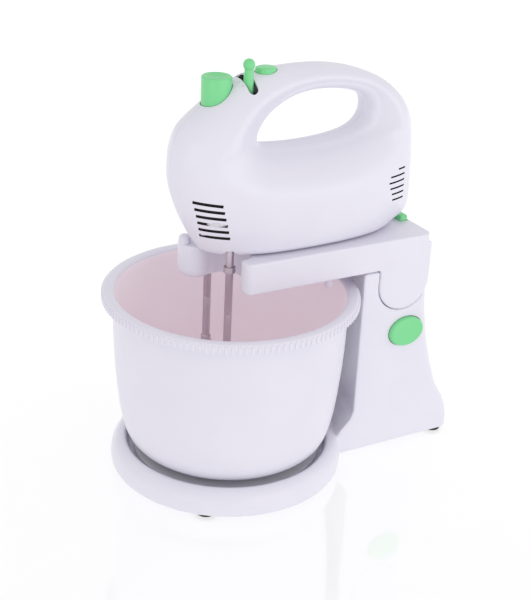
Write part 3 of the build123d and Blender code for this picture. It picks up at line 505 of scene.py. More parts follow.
POCKET_GAP = 0.5
pocket = [(BUTTON[0] + u, BUTTON[2] + v)
          for u, v in oval(BUTTON_A + POCKET_GAP, BUTTON_B + POCKET_GAP)]
# The pocket's walls take the near-black painted shade of the cutter.
cut(column, build("pocket_cutter", *pushed(pocket, -60, -31, "Y"), SHADOW))
mount(column, "stand", "white_shell", "base_dish", "column_shell")

# %% [markdown]
# ## Bowl
# The bowl is turned: a wall that opens slowly, a rounded floor, and a flat rim with an inner lip.
# Its inside is duller than its outside and carries painted light, a warmer pink and a weak glow for
# the light through the thin wall, so the faces know which they are from their place in the outline.

# %% Turn the bowl
RIM_TOP = high("bowl")[2]
SKIRT = (high("bowl")[0] - low("bowl")[0]) / 2
OUTSIDE = [(0, 22), (40, 22), (66, 22), (72, 22.9), (77.5, 25), (82, 28.4), (85.4, 32.4),
           (87.8, 37.5), (89.6, 43), (91.2, 50), (92.8, 59), (94.6, 74), (95.9, 88), (96.8, 100),
           (97.5, 113), (98, 127), (98.3, 142), (98.4, 156)]
RIM = [(98.8, 157.4), (99.6, 158.6), (99.9, RIM_TOP - 3), (SKIRT - 2.4, RIM_TOP - 3),
       (SKIRT - 2.0, 157.0), (SKIRT - 1.6, 156.3), (SKIRT - 0.4, 156.2), (SKIRT, 156.7),
       (SKIRT, RIM_TOP - 2.2), (SKIRT - 0.25, RIM_TOP - 1.1), (SKIRT - 1.0, RIM_TOP - 0.35),
       (SKIRT - 2.0, RIM_TOP), (102, RIM_TOP - 0.05), (99.0, RIM_TOP - 0.3),
       (97.6, RIM_TOP - 0.9), (96.6, RIM_TOP - 2.2), (96.1, RIM_TOP - 4.5)]
WALL = 2.6
INSIDE = [(95.8, 154)] + [(r - WALL, z) for r, z in reversed(OUTSIDE[9:-1])] + [
    (86.6, 44), (84.9, 38.8), (82.6, 34.6), (79.6, 31), (75.8, 27.8), (71.6, 25.6), (66, 24.6),
    (40, 24.6), (0, 24.6)]
bowl_outline = OUTSIDE + RIM + INSIDE
bowl_piece = build("bowl_moulding", *turned(bowl_outline, 180, (BOWL_X, 0)), BOWL)
bowl_piece.data.materials.append(BOWL_IN_PAINTED_LIGHT)
# Faces on the inside, and those that face up from its floor, take the painted light of the inside.
for face in bowl_piece.data.polygons:
    out_from_axis = Vector((face.center.x - BOWL_X * MM, face.center.y, 0))
    inward = face.normal.dot(out_from_axis.normalized()) < -0.05 if out_from_axis.length else True
    above_floor = face.normal.z > 0.5 and face.center.z < 60 * MM
    if (inward and face.center.z < (RIM_TOP - 3) * MM and out_from_axis.length < 97 * MM) \
            or above_floor:
        face.material_index = 1
foot = build("foot_ring", *turned([(56.4, 19), (59.4, 19), (59.4, 22.4), (56.4, 22.4)], 120,
                                  (BOWL_X, 0), closed=True), BOWL)
join(bowl_piece, foot)
mount(bowl_piece, "bowl", "bowl_plastic", "bowl", soft=50)

# %% [markdown]
# ## A tree for what stands in a ring
# The rim has 132 ribs, which the pinion under the arm drives.  They are the same small bar again
# and again, so Geometry Nodes make them: a circle of points, one bar on each point, turned to
# face outwards.  The tree takes its sizes as named inputs, so that the ribs can be changed in
# one place.

# %% Build the ring tree
def new_tree(name, **inputs):
    """A Geometry Nodes tree with named inputs, and a small helper that adds nodes to it."""
    tree = bpy.data.node_groups.new(name, "GeometryNodeTree")
    kinds = {int: "NodeSocketInt", float: "NodeSocketFloat", Vector: "NodeSocketVector"}
    tree.interface.new_socket("Geometry", in_out="INPUT", socket_type="NodeSocketGeometry")
    for key, value in inputs.items():
        made = tree.interface.new_socket(key, in_out="INPUT", socket_type=kinds[type(value)])
        made.default_value = value
    tree.interface.new_socket("Finish", in_out="INPUT", socket_type="NodeSocketMaterial")
    tree.interface.new_socket("Geometry", in_out="OUTPUT", socket_type="NodeSocketGeometry")
    source = tree.nodes.new("NodeGroupInput")

    def node(kind, settings=None, sockets=None):
        made = tree.nodes.new(kind)
        for key, value in (settings or {}).items():
            setattr(made, key, value)
        for key, value in (sockets or {}).items():
            if isinstance(value, bpy.types.NodeSocket):
                tree.links.new(value, made.inputs[key])
            else:
                made.inputs[key].default_value = value
        return made

    def close(geometry):
        """Every tree ends the same way, because the export drops instances."""
        real = node("GeometryNodeRealizeInstances", None, {0: geometry})
        painted = node("GeometryNodeSetMaterial", None, {
            "Geometry": real.outputs[0], "Material": source.outputs["Finish"]})
        end = tree.nodes.new("NodeGroupOutput")
        tree.links.new(painted.outputs[0], end.inputs[0])
        return tree

    return source, node, close


source, node, close = new_tree(
    "ring_of_bars", Count=12, Radius=0.1, Sides=8, Bar=Vector((1, 1, 1)), Centre=Vector((0, 0, 0)))
ring = node("GeometryNodeMeshCircle", None, {
    "Vertices": source.outputs["Count"], "Radius": source.outputs["Radius"]})
index = node("GeometryNodeInputIndex")
step = node("ShaderNodeMath", {"operation": "DIVIDE"}, {0: 2 * pi, 1: source.outputs["Count"]})
angle = node("ShaderNodeMath", {"operation": "MULTIPLY"}, {
    0: index.outputs[0], 1: step.outputs[0]})
spin = node("ShaderNodeCombineXYZ", None, {"Z": angle.outputs[0]})
bar = node("GeometryNodeMeshCylinder", None, {
    "Vertices": source.outputs["Sides"], "Radius": 0.5, "Depth": 1.0})
bars = node("GeometryNodeInstanceOnPoints", None, {
    "Points": ring.outputs[0], "Instance": bar.outputs[0], "Rotation": spin.outputs[0],
    "Scale": source.outputs["Bar"]})
placed = node("GeometryNodeTransform", None, {
    "Geometry": bars.outputs[0], "Translation": source.outputs["Centre"]})
RING = close(placed.outputs[0])
print("ring tree", len(RING.nodes), "nodes")


# %% Run a tree
def grow(name, tree, seed=None, **inputs):
    """Runs a tree on a seed and keeps the plain mesh that it makes."""
    holder = bpy.data.objects.new(name, seed or bpy.data.meshes.new(name))
    bpy.context.scene.collection.objects.link(holder)
    step = holder.modifiers.new("Grow", "NODES")
    step.node_group = tree
    for item in tree.interface.items_tree:
        if item.item_type == "SOCKET" and item.in_out == "INPUT" and item.name in inputs:
            step[item.identifier] = inputs[item.name]
    graph = bpy.context.evaluated_depsgraph_get()
    mesh = bpy.data.meshes.new_from_object(holder.evaluated_get(graph))
    bpy.data.objects.remove(holder)
    made = bpy.data.objects.new(name, mesh)
    bpy.context.scene.collection.objects.link(made)
    return outwards(made)


# %% Ribs round the bowl's rim
RIB_COUNT = 132
RIB_LOW, RIB_TOP = 156.6, RIM_TOP - 1.5
RIB_DEEP, RIB_WIDE = 2.1, 2.5
ribs = grow("rim_ribs", RING, Count=RIB_COUNT, Radius=(SKIRT + 0.1) * MM, Sides=10,
            Bar=(RIB_DEEP * MM, RIB_WIDE * MM, (RIB_TOP - RIB_LOW) * MM),
            Centre=(BOWL_X * MM, 0, (RIB_LOW + RIB_TOP) / 2 * MM), Finish=BOWL)
mount(ribs, "bowl", "bowl_plastic", "rim_gear")

# %% [markdown]
# ## Beaters
# A beater is a turned shaft with a cage of four bent strips.  The strips follow one path, so the
# second tree pushes a small round profile along a curve and repeats it round the shaft.

# %% Tree for the cage of a beater
source, node, close = new_tree(
    "cage_of_wires", Count=4, Thick=0.001, Start=0.0, Centre=Vector((0, 0, 0)))
profile = node("GeometryNodeCurvePrimitiveCircle", None, {
    "Resolution": 10, "Radius": source.outputs["Thick"]})
wire = node("GeometryNodeCurveToMesh", None, {
    "Curve": source.outputs["Geometry"], "Profile Curve": profile.outputs[0], "Fill Caps": True})
spots = node("GeometryNodeMeshLine", None, {
    "Count": source.outputs["Count"], "Start Location": source.outputs["Centre"],
    "Offset": (0, 0, 0)})
index = node("GeometryNodeInputIndex")
step = node("ShaderNodeMath", {"operation": "DIVIDE"}, {0: 2 * pi, 1: source.outputs["Count"]})
angle = node("ShaderNodeMath", {"operation": "MULTIPLY_ADD"}, {
    0: index.outputs[0], 1: step.outputs[0], 2: source.outputs["Start"]})
spin = node("ShaderNodeCombineXYZ", None, {"Z": angle.outputs[0]})
wires = node("GeometryNodeInstanceOnPoints", None, {
    "Points": spots.outputs[0], "Instance": wire.outputs[0], "Rotation": spin.outputs[0]})
CAGE = close(wires.outputs[0])

# %% Two beaters
CAGE_LOW, CAGE_TOP = low("beater_left")[2], 112.0
SHAFT_TOP = high("beater_left")[2]
CAGE_R = 22.9
STRIP_R = 1.1
wire_path = [(2.6, 111), (4.6, 108.5), (7.5, 103.8), (14.6, 97), (20.6, 91), (22.6, 88),
             (CAGE_R, 84), (CAGE_R, 73), (CAGE_R, 62), (22.5, 58), (20.6, 55), (15.4, 49.3),
             (10.6, 44.4), (8.4, 43.2), (5.0, 43.2), (2.2, 43.2)]
SHAFT = [(0, CAGE_TOP - 4.5), (3.9, CAGE_TOP - 4.5), (4.2, CAGE_TOP - 4.1), (4.2, CAGE_TOP + 2.4),
         (3.8, CAGE_TOP + 3.0), (3.25, CAGE_TOP + 3.4), (3.25, 150), (3.05, 150.4), (3.05, 151.6),
         (3.25, 152), (3.25, 232), (2.9, 233), (2.9, 235), (3.25, 236), (3.25, SHAFT_TOP - 1.2),
         (2.4, SHAFT_TOP), (0, SHAFT_TOP)]
COLLAR = [(3.1, 188), (4.7, 188), (5.0, 188.4), (5.0, 192.6), (4.7, 193), (3.1, 193)]
HUB = [(0, CAGE_LOW), (3.2, CAGE_LOW), (3.5, CAGE_LOW + 0.4), (3.5, CAGE_LOW + 2.2),
       (3.1, CAGE_LOW + 2.6), (0, CAGE_LOW + 2.6)]
for side, sign, start in (("left", 1, 0), ("right", -1, 45)):
    curve = bpy.data.curves.new("wire_path", "CURVE")
    curve.dimensions = "3D"
    spline = curve.splines.new("POLY")
    spline.points.add(len(wire_path) - 1)
    for point, (r, z) in zip(spline.points, wire_path):
        point.co = (r * MM, 0, z * MM, 1)
    centre = (BEATER_X, sign * BEATER_Y)
    cage = grow("cage_" + side, CAGE, curve, Count=4, Thick=STRIP_R * MM, Start=radians(start),
                Centre=(centre[0] * MM, centre[1] * MM, 0), Finish=BEATER)
    shapes = [turned(SHAFT, 32, centre), turned(HUB, 24, centre)]
    if side == "right":
        shapes.append(turned(COLLAR, 32, centre, closed=True))
    shaft = build("beater_" + side + "_shaft", *together(*shapes), BEATER)
    join(shaft, cage)
    mount(shaft, "beater_" + side, "beater_steel", "beater_" + side, soft=35)

# %% [markdown]
# ## Arm
# The arm is a fork: a short prong beside the near beater, and a long one that ends in the round
# boss round the far beater.  Its rear runs down over the hinge as a round cheek, flush with the
# column.  Plan, boss and cheek are separate simple solids here, and the fusing makes one moulding
# of them with soft edges.

# %% Fuse the arm
ARM_LOW = 176.0
ARM_HALF = high("arm_shell")[1]
BOSS = (-74.0, 21.0)
BOSS_R = 14.6
SHAFT_HOLE_R = 4.6
RELEASE_HALF = (4.5, 9)
fork = rounded([
    (ARM_REAR, ARM_HALF, 8), (-66, ARM_HALF, 4), (-76, 36.3, 3), (-76, 8, 0), (-58, 8, 4),
    (-50.5, 5, 8), (-46, -2, 8), (-46, -20, 8), (-48, -27, 6), (-52, -30, 4), (-60, -30, 4),
    (-60, -ARM_HALF, 5), (ARM_REAR, -ARM_HALF, 8)])
BOSS_OUTLINE = [(0, 173), (BOSS_R - 6.5, 173), (BOSS_R - 4, 173.7), (BOSS_R - 2, 175.2),
                (BOSS_R - 0.6, 177.5), (BOSS_R, 180.5), (BOSS_R, ARM_TOP), (0, ARM_TOP)]
arm_points, arm_faces = together(
    pushed(fork, ARM_LOW, ARM_TOP), turned(BOSS_OUTLINE, 56, BOSS),
    pushed(cheek_outline(0, 195), -ARM_HALF, ARM_HALF, "Y"))
arm = build("arm_moulding", arm_points, arm_faces, SHELL, merge=0.001)
fuse(arm, voxel=1.1, passes=7)
RELEASE = middle("release_button")
release_hole = rounded([(RELEASE[0] + u * RELEASE_HALF[0], RELEASE[1] + v * RELEASE_HALF[1], 2)
                        for u, v in ((-1, -1), (1, -1), (1, 1), (-1, 1))])
# The release hole and the shaft hole below are lined with near-black painted shade.
cut(arm, build("release_cutter", *pushed(release_hole, 190, 210), SHADOW))
shaft_hole = [(BEATER_X + u, BEATER_Y + v) for u, v in oval(SHAFT_HOLE_R, SHAFT_HOLE_R, 40)]
cut(arm, build("shaft_cutter", *pushed(shaft_hole, 165, 210), SHADOW))
mount(arm, "arm", "white_shell", "arm_shell", "arm_deck", soft=50)

# %% Small mouldings on the arm
post = build("nose_cap", *turned(
    [(0, 202), (4.9, 202), (5.0, 206.2), (4.4, 208.2), (3.0, 209.4), (1.4, 209.9), (0, 210)], 40,
    (-84.2, 20.5)), SHELL)
mount(post, "arm", "white_shell", "nose_post")
STOP = middle("bowl_stop")
peg = build("bowl_peg", *turned(
    [(0, 176.5), (3.9, 176.5), (3.5, 175), (3.4, 167.2), (2.8, 165.8), (1.6, 165.1), (0, 165)], 32,
    (STOP[0], STOP[1])), SHELL)
mount(peg, "arm", "white_shell", "bowl_stop")

# %% [markdown]
# ## Housing of the hand mixer
# The housing is an egg-like body with a handle that runs over a grip opening.  Seen from the side
# it is a ring between two outlines, its silhouette and the opening.  Its half width at any point
# of that ring is a rule: it rises from the silhouette like the end of an ellipse, and from the
# opening like a scoop, and the smaller of the two holds.  Where they meet, the rule blends over a
# few millimetres, and that is the soft crease which runs down beside the nose.

# %% Outlines of the housing
SILHOUETTE = [
    (-80, BODY_BOTTOM), (-92, 221), (-101.5, 241), (-107.5, 261), (-108.5, 277), (-106.5, 294),
    (-99, 309.5), (-78, 326.5), (-60, 338.5), (-42, 344.8), (-20, 348), (3, 349), (25, 348.2),
    (45, 345), (65, 339), (85, 329.5), (100, 317), (108.5, 304), (112.5, 288), (114.5, 262),
    (115.5, 240), (114.5, 222), (108, 211), (96, BODY_BOTTOM)]
BELOW = [(75, 188), (40, 176), (0, 172), (-35, 176), (-60, 187)]
OPENING = [
    (-36, 294), (-32, 288.5), (-21, 286.5), (4, 285.5), (31, 287), (52, 291), (63, 297.5), (67, 307),
    (63.5, 317.5), (51, 324), (31, 327.5), (10, 327.5), (-9, 323), (-25, 313.5), (-33.5, 303)]


def smooth_loop(points, steps):
    """A closed curve through points, with `steps` samples between each two."""
    p = np.array(points, float)
    a, b, c, d = np.roll(p, 1, 0), p, np.roll(p, -1, 0), np.roll(p, -2, 0)
    t = (np.arange(steps) / steps)[None, :, None]
    a, b, c, d = (q[:, None, :] for q in (a, b, c, d))
    line = 0.5 * (2 * b + (c - a) * t + (2 * a - 5 * b + 4 * c - d) * t ** 2
                  + (3 * b - a - 3 * c + d) * t ** 3)
    return line.reshape(-1, 2)


def distance(spots, line):
    """Distance of each spot from a closed line."""
    best = np.full(len(spots), 1e9)
    for a, b in zip(line, np.roll(line, -1, 0)):
        along = b - a
        t = ((spots - a) @ along / max(along @ along, 1e-9)).clip(0, 1)
        best = np.minimum(best, np.linalg.norm(spots - a - t[:, None] * along, axis=1))
    return best


SIDE_LINE = smooth_loop(SILHOUETTE + BELOW, 8)
GRIP_LINE = smooth_loop(OPENING, 10)
print("side outline", len(SIDE_LINE), "points, opening", len(GRIP_LINE))

# %% The rule for the half width
HALF = 42.5
NOSE_DEEP = 88.0
GRIP_HALF = 15.5
FULLNESS = 2.2
PULL_BELOW, PULL_OVER = 296, 10     # where the scoop under the opening becomes wider than deep
PULL = np.array([1.0, 1.9])
LIP = 8                             # the handle's own rounding round the opening
FLARE = 0.8                         # how fast the scoop opens beyond that
BLEND, BLEND_BELOW = 5, 17          # length of the soft crease, and what is added below
EDGE_R = 5                          # rounding at the flat bottom


def swell(share):
    """Rises from 0 to 1 like the end of a slightly squared ellipse."""
    return (1 - (1 - share.clip(0, 1)) ** FULLNESS) ** (1 / FULLNESS)


def half_width(spots):
    """Half width of the housing at spots (x, z) of its side view."""
    x, z = spots[:, 0], spots[:, 1]
    from_edge = distance(spots, SIDE_LINE)
    below = ((PULL_BELOW - z) / PULL_OVER).clip(0, 1)
    plain, pulled = distance(spots, GRIP_LINE), distance(spots * PULL, GRIP_LINE * PULL)
    from_grip = plain * (1 - below) + pulled * below
    nose = HALF * swell(from_edge / NOSE_DEEP)
    scoop = (GRIP_HALF + FLARE * np.maximum(from_grip - LIP, 0)) * swell(plain / 10)
    soft = BLEND + BLEND_BELOW * below
    mix = (0.5 + 0.5 * (scoop - nose) / soft).clip(0, 1)
    wide = scoop * (1 - mix) + nose * mix - soft * mix * (1 - mix)
    edge = ((z - BODY_BOTTOM) / EDGE_R).clip(0, 1)
    return np.maximum(wide - EDGE_R * (1 - np.sqrt(1 - (1 - edge) ** 2)), 0)


print("half width in the middle", half_width(np.array([[10.0, 250.0]])).round(1)[0])

# %% Two shells
AROUND, ACROSS = 300, 44
SKIN = 2.5
SEAM = 0.1
grip_middle = np.array([15.5, 307.0])
outer = SIDE_LINE[SIDE_LINE[:, 1] > BODY_BOTTOM + 0.01]
first_corner = np.argmin(np.hypot(*(outer - SILHOUETTE[0]).T))
outer = np.roll(outer, -first_corner, 0)
base_line = np.linspace(SILHOUETTE[-1], SILHOUETTE[0], 60)
outer = np.vstack([base_line[-1:], outer, base_line[:-1]])


def even(line, count):
    """A closed line resampled at equal steps."""
    loop = np.vstack([line, line[:1]])
    run = np.concatenate([[0], np.cumsum(np.hypot(*np.diff(loop, axis=0).T))])
    at = np.arange(count) * run[-1] / count
    return np.stack([np.interp(at, run, loop[:, 0]), np.interp(at, run, loop[:, 1])], 1)


def bearing(line, spread):
    return np.arctan2((line[:, 1] - grip_middle[1]) / spread[1],
                      (line[:, 0] - grip_middle[0]) / spread[0])


outer = even(outer, AROUND)
grip = even(GRIP_LINE, 720)
grip_angle = bearing(grip, (52, 21))
order = np.argsort(grip_angle)
wanted = bearing(outer, (75, 48))
inner = np.stack([np.interp(wanted, grip_angle[order], grip[order][:, k], period=2 * pi)
                  for k in (0, 1)], 1)


def inwards(line, amount):
    """A closed line moved to its own right-hand side."""
    along = np.roll(line, -1, 0) - np.roll(line, 1, 0)
    along /= np.maximum(np.hypot(*along.T), 1e-9)[:, None]
    return line + amount * np.stack([along[:, 1], -along[:, 0]], 1)


share = 0.5 - 0.5 * np.cos(np.linspace(0, pi, ACROSS))


def sheet(start, stop, thinner):
    spots = start[:, None] * (1 - share[None, :, None]) + stop[:, None] * share[None, :, None]
    flat = spots.reshape(-1, 2)
    wide = np.maximum(half_width(flat) - thinner, 0.0)
    return np.stack([flat[:, 0], wide + SEAM, flat[:, 1]], 1).reshape(len(start), ACROSS, 3)


skin_outside = sheet(outer, inner, 0)
skin_inside = sheet(inwards(outer, SKIN), inwards(inner, -SKIN), SKIN)
print("sheet", skin_outside.shape, "widest", round(float(skin_outside[..., 1].max()), 1))

# %% [markdown]
# Across the ring a shell is one closed loop: over the outside, square down to the seam, back
# along the seam, and home through the inside.  Under the body the drop to the seam is what closes
# the flat bottom.  The far side is the same shell mirrored.

# %% Close the shells
def to_seam(edge):
    """An edge of the sheet, moved straight across to the seam."""
    return edge * (1, 0, 1) + (0, SEAM, 0)


loops = np.concatenate([
    skin_outside, to_seam(skin_outside[:, -1:]), to_seam(skin_inside[:, -1:]),
    skin_inside[:, ::-1], to_seam(skin_inside[:, :1]), to_seam(skin_outside[:, :1])], 1)
AROUND_LOOP = loops.shape[1]
SHELL_FACES = [(i * AROUND_LOOP + k, (i + 1) % AROUND * AROUND_LOOP + k,
                (i + 1) % AROUND * AROUND_LOOP + (k + 1) % AROUND_LOOP,
                i * AROUND_LOOP + (k + 1) % AROUND_LOOP)
               for i in range(AROUND) for k in range(AROUND_LOOP)]
shells = {}
for side, sign in (("left", 1), ("right", -1)):
    points = loops.reshape(-1, 3) * (1, sign, 1)
    shells[side] = build("housing_" + side, points.tolist(), SHELL_FACES, SHELL, merge=0.02)
    print(side, len(shells[side].data.polygons), "faces")

# %% [markdown]
# ## Cooling slots
# Six slots run round the nose on each side, and six more near the heel.  Each one is a line that
# follows the surface at one height, so a third tree pushes an upright bar along each line.  The
# bars cut the shells, and the cuts take the near-black finish of the bars, which is painted shade
# for the inside of the slots.

# %% Tree for the slot cutters
source, node, close = new_tree("bars_along_lines", High=0.002, Deep=0.01)
upright = node("GeometryNodeSetCurveNormal", {"mode": "Z_UP"}, {
    "Curve": source.outputs["Geometry"]})
section = node("GeometryNodeCurvePrimitiveQuadrilateral", None, {
    "Width": source.outputs["Deep"], "Height": source.outputs["High"]})
bars = node("GeometryNodeCurveToMesh", None, {
    "Curve": upright.outputs[0], "Profile Curve": section.outputs[0], "Fill Caps": True})
SLOTS = close(bars.outputs[0])


# %% Lines on the surface
def surface_line(start, stop, sign, steps=14):
    """A line over the housing from (x, z) to (x, z), on one side."""
    spots = np.linspace(start, stop, steps)
    return np.stack([spots[:, 0], sign * half_width(spots), spots[:, 1]], 1)


def slot_cutter(name, lines, high):
    """Bars along lines, each bar `high` tall and reaching a little under the surface."""
    curve = bpy.data.curves.new(name, "CURVE")
    curve.dimensions = "3D"
    for line in lines:
        spline = curve.splines.new("POLY")
        spline.points.add(len(line) - 1)
        for point, place in zip(spline.points, line):
            point.co = (*(place * MM), 1)
    return grow(name, SLOTS, curve, High=high * MM, Deep=SLOT_DEEP * MM, Finish=SHADOW)


SLOT_COUNT = 6
FRONT_HIGH, REAR_HIGH, SLOT_DEEP = 2.6, 1.5, 3.4
REAR_STARTS = (85.5, 76, 74.6, 76.4, 78.8, 80)
for side, sign in (("left", 1), ("right", -1)):
    front = [surface_line((-98 + 1.85 * k, 253 - 6.1 * k), (-77.4 + 1.7 * k, 250.6 - 5.8 * k), sign)
             for k in range(SLOT_COUNT)]
    rear = [surface_line((start, 261.2 - 5.15 * k), (95, 260.8 - 5.2 * k), sign)
            for k, start in enumerate(REAR_STARTS)]
    cut(shells[side], slot_cutter("front_slots", front, FRONT_HIGH))
    cut(shells[side], slot_cutter("rear_slots", rear, REAR_HIGH))
    print(side, "slots", len(front) + len(rear))

# %% [markdown]
# ## Openings for the controls
# Eject button, speed lever and pulse button come up through the top.  One cutter holds all three
# openings and the two holes for the spindles, and cuts both shells.

# %% Cut the openings
EJECT, EJECT_R = middle("eject_button"), (high("eject_button")[0] - low("eject_button")[0]) / 2
LEVER = middle("speed_lever")
TURBO = middle("turbo_button")
TURBO_A = (high("turbo_button")[0] - low("turbo_button")[0]) / 2
TURBO_B = (high("turbo_button")[1] - low("turbo_button")[1]) / 2
SLOT = (LEVER[0] - 4, LEVER[0] + 4, -21.0, 17.0)
SLOT_END = 3.9
SPINDLE_HOLE_R = 7


def moved(outline, place):
    return [(u + place[0], v + place[1]) for u, v in outline]


slot_outline = rounded([(SLOT[i], SLOT[j], SLOT_END) for i, j in ((0, 2), (1, 2), (1, 3), (0, 3))])
spindle_hole = oval(SPINDLE_HOLE_R, SPINDLE_HOLE_R)
for side in ("left", "right"):
    cut(shells[side], build("controls_cutter", *together(
        pushed(moved(oval(EJECT_R + 0.5, EJECT_R + 0.5), EJECT), 300, 360),
        pushed(slot_outline, 325, 365),
        pushed(moved(oval(TURBO_A + 0.4, TURBO_B + 0.4), TURBO), 320, 365),
        pushed(moved(spindle_hole, (BEATER_X, BEATER_Y)), 195, 212),
        pushed(moved(spindle_hole, (BEATER_X, -BEATER_Y)), 195, 212)), SHELL))
    mount(shells[side], "mixer", "white_shell", "mixer_shell_" + side, soft=50)

# %% [markdown]
# ## Controls
# The eject button is a tall round plug with a dished top.  The speed lever is a tapering stem
# with a ball, on a plate that closes its slot from below.  The pulse button is a low oval dome.

# %% Eject button
TOP = high("eject_button")[2]
FOOT = low("eject_button")[2]
eject = build("eject_plug", *turned([
    (0, FOOT), (EJECT_R - 0.4, FOOT), (EJECT_R, FOOT + 0.4), (EJECT_R, TOP - 1.5),
    (EJECT_R - 0.3, TOP - 0.6), (EJECT_R - 0.9, TOP - 0.1), (EJECT_R - 1.6, TOP),
    (EJECT_R - 2.5, TOP - 0.25), (EJECT_R - 4.5, TOP - 1.15), (EJECT_R - 7, TOP - 1.8),
    (EJECT_R - 10, TOP - 2.15), (0, TOP - 2.2)], 72, EJECT), GREEN)
mount(eject, "eject_button", "green_plastic", "eject_button", soft=50)


# %% Speed lever
LEVER_TOP = high("speed_lever")[2]
LEVER_Y = LEVER[1]
BALL = 4.8
ball = [(LEVER_TOP - BALL - BALL * cos(a), BALL * sin(a), BALL * sin(a))
        for a in np.linspace(0.8, pi - 0.12, 14)]
stem = [(329, 3.7, 6.0), (341, 3.6, 5.2), (345, 3.5, 4.6), (349, 3.4, 3.9), *ball]
lever = build("speed_stem", *stacked(
    [z for z, _, _ in stem], [moved(oval(a, b, 36), LEVER) for _, a, b in stem]), GREEN)
PLATE = (LEVER_Y - 10, LEVER_Y + 9)
# The plate is the lever's green in painted shade, as it sits down in the slot.
plate = build("slot_plate", *pushed(rounded([
    (LEVER[0] - 5.4, PLATE[0], 2), (LEVER[0] + 5.4, PLATE[0], 2),
    (LEVER[0] + 5.4, PLATE[1], 2), (LEVER[0] - 5.4, PLATE[1], 2)]), 327.5, 329.5), GREEN_PAINTED_SHADE)
mount(lever, "speed_lever", "green_plastic", "speed_lever")
mount(plate, "speed_lever", "green_plastic")

# %% Pulse button
TURBO_TOP = high("turbo_button")[2]
turbo = build("pulse_button", *turned([
    (0, 338), (0.985, 338), (1, 338.4), (1, TURBO_TOP - 2.2), (0.985, TURBO_TOP - 1.3),
    (0.93, TURBO_TOP - 0.6), (0.8, TURBO_TOP - 0.2), (0.5, TURBO_TOP), (0, TURBO_TOP)], 64, TURBO,
    stretch=(TURBO_A, TURBO_B)), GREEN)
mount(turbo, "turbo_button", "green_plastic", "turbo_button", soft=50)

# %% [markdown]
# The two buttons on the stand are the same kind of low plug.  The oval one on the column is
# turned about a level axis, so it is made upright and its points are laid over.

# %% Tilt button and release button
PROUD = low("tilt_button")[1]
cap_points, cap_faces = turned([
    (0, 9), (0.97, 9), (1, 8.4), (1, 2.4), (0.985, 1.3), (0.955, 0.55), (0.91, 0.12), (0.86, 0),
    (0.8, 0.1), (0.5, 0.55), (0, 0.75)], 96)
cap_points = [(BUTTON[0] + u * BUTTON_A, PROUD + w, BUTTON[2] + v * BUTTON_B)
              for u, v, w in cap_points]
cap = build("tilt_cap", cap_points, cap_faces, GREEN)
mount(cap, "tilt_button", "green_plastic", "tilt_button", soft=50)
rl, rh = low("release_button"), high("release_button")
outline = [(rl[0], rl[1], 2), (rh[0], rl[1], 2), (rh[0], rh[1], 2), (rl[0], rh[1], 2)]
levels = [(192, 0), (rh[2] - 1.6, 0), (rh[2] - 0.8, 0.35), (rh[2] - 0.25, 0.9), (rh[2], 1.7)]
rings = [rounded([(x + (grow_in if x == rl[0] else -grow_in),
                   y + (grow_in if y == rl[1] else -grow_in), r) for x, y, r in outline])
         for _, grow_in in levels]
release = build("release_cap", *stacked([z for z, _ in levels], rings), GREEN)
mount(release, "release_button", "green_plastic", "release_button", soft=50)

# %% [markdown]
# ## Feet
# Six rubber feet carry the stand.  They are low turned pads with a rounded edge.

# %% Feet
FOOT_R = 8.0
FOOT_RING = 89.0
REAR_FOOT_Y = 35.0
spots = [(BOWL_X + FOOT_RING * cos(radians(a)), FOOT_RING * sin(radians(a)))
         for a in (39, 128, 232, 321)]
spots += [(high("feet")[0] - FOOT_R, y) for y in (REAR_FOOT_Y, -REAR_FOOT_Y)]
pads = [turned([(0, 0), (FOOT_R - 1.2, 0), (FOOT_R - 0.4, 0.4), (FOOT_R, 1.2), (FOOT_R, 3.4),
                (0, 3.4)], 40, spot) for spot in spots]
feet = build("rubber_feet", *together(*pads), RUBBER)
mount(feet, "stand", "rubber", "feet", soft=50)

# %% [markdown]
# ## Figures beside the speed slot
# Small grey figures, 0 to 5, stand beside the slot.  They are text turned into a mesh, then
# dropped onto the surface of the housing point by point.

# %% Speed figures
def drop_height(x, y):
    """Height of the housing's top at (x, y)."""
    heights = np.linspace(300, 349.5, 200)
    wide = half_width(np.stack([np.full(200, x), heights], 1))
    top = np.argmin(wide)
    return heights[np.nonzero(wide[:top] >= abs(y))[0][-1]]


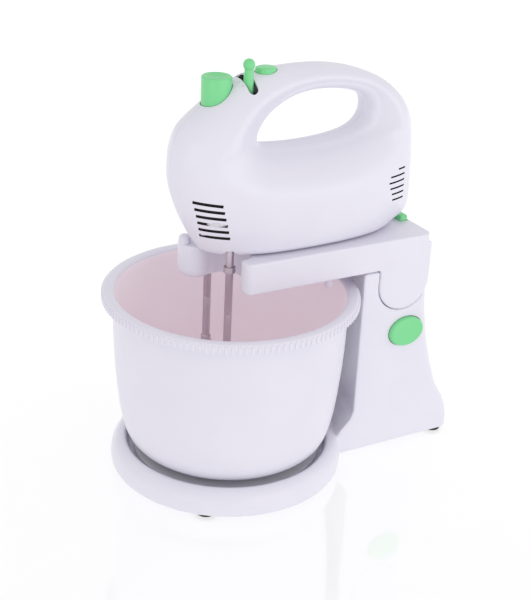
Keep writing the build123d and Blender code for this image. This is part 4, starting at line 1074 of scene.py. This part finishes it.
FIGURE_SIZE, FIGURE_STEP = 4.2, 5.4
for k, figure in enumerate("012345"):
    letters = bpy.data.curves.new("figure_" + figure, "FONT")
    letters.body, letters.size, letters.align_x = figure, FIGURE_SIZE * MM, "CENTER"
    letters.extrude = 0.0
    holder = bpy.data.objects.new("figure_" + figure, letters)
    bpy.context.scene.collection.objects.link(holder)
    graph = bpy.context.evaluated_depsgraph_get()
    mesh = bpy.data.meshes.new_from_object(holder.evaluated_get(graph))
    bpy.data.objects.remove(holder)
    x0, y0 = LEVER[0] - 8.5, -17 + FIGURE_STEP * k
    for point in mesh.vertices:
        u, v = point.co.x / MM, point.co.y / MM
        x, y = x0 + v, y0 - u
        point.co = Vector((x, y, drop_height(x, y) + 0.12)) * MM
    mesh.materials.clear()
    mesh.materials.append(INK)
    made = bpy.data.objects.new("speed_figure_" + figure, mesh)
    bpy.context.scene.collection.objects.link(made)
    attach(made, "mixer")

# %% [markdown]
# ## Floor and light
# The object stands on a pale, slightly glossy table that glows a little, as a light table does,
# so it throws almost no shadow and shows a faint reflection.  Large soft lights in front and at
# the sides model the white mouldings, and the sky above is a little dimmer.

# %% Floor
floor_mesh = bpy.data.meshes.new("floor")
FLOOR = 6.0
floor_mesh.from_pydata([(-FLOOR, -FLOOR, 0), (FLOOR, -FLOOR, 0), (FLOOR, FLOOR, 0),
                        (-FLOOR, FLOOR, 0)], [], [(0, 1, 2, 3)])
floor = bpy.data.objects.new("floor", floor_mesh)
bpy.context.scene.collection.objects.link(floor)
paper = Finish("table_top")
grain = paper.noise(60, 2.0)
floor_mesh.materials.append(paper.surface(
    Base_Color=paper.between(grain, (0.24, 0.24, 0.25), (0.26, 0.26, 0.27)),
    Roughness=0.05 + 0.02 * grain, IOR=1.9, Emission_Color=(1, 1, 1, 1), Emission_Strength=0.69))


# %% Lights
def soft_light(name, place, aim, size, power):
    lamp = bpy.data.lights.new(name, "AREA")
    lamp.shape, lamp.size, lamp.size_y = "RECTANGLE", size[0], size[1]
    lamp.energy = power
    holder = bpy.data.objects.new(name, lamp)
    bpy.context.scene.collection.objects.link(holder)
    holder.location = place
    holder.rotation_mode = "QUATERNION"
    holder.rotation_quaternion = (Vector(aim) - Vector(place)).to_track_quat("-Z", "Y")
    return holder


TARGET = (0, 0, 0.18)
soft_light("front_box", (0.5, -1.8, 0.6), TARGET, (1.6, 1.0), 3.7)
soft_light("left_box", (-1.7, -1.0, 0.4), TARGET, (1.2, 0.8), 1.8)
soft_light("right_box", (1.7, -0.9, 0.7), TARGET, (1.2, 1.2), 2.2)
world = bpy.data.worlds.new("studio")
world.use_nodes = True
world.node_tree.nodes["Background"].inputs["Color"].default_value = (1.0, 1.0, 1.0, 1)
world.node_tree.nodes["Background"].inputs["Strength"].default_value = 0.84
bpy.context.scene.world = world
bpy.context.scene.view_settings.view_transform = "Standard"
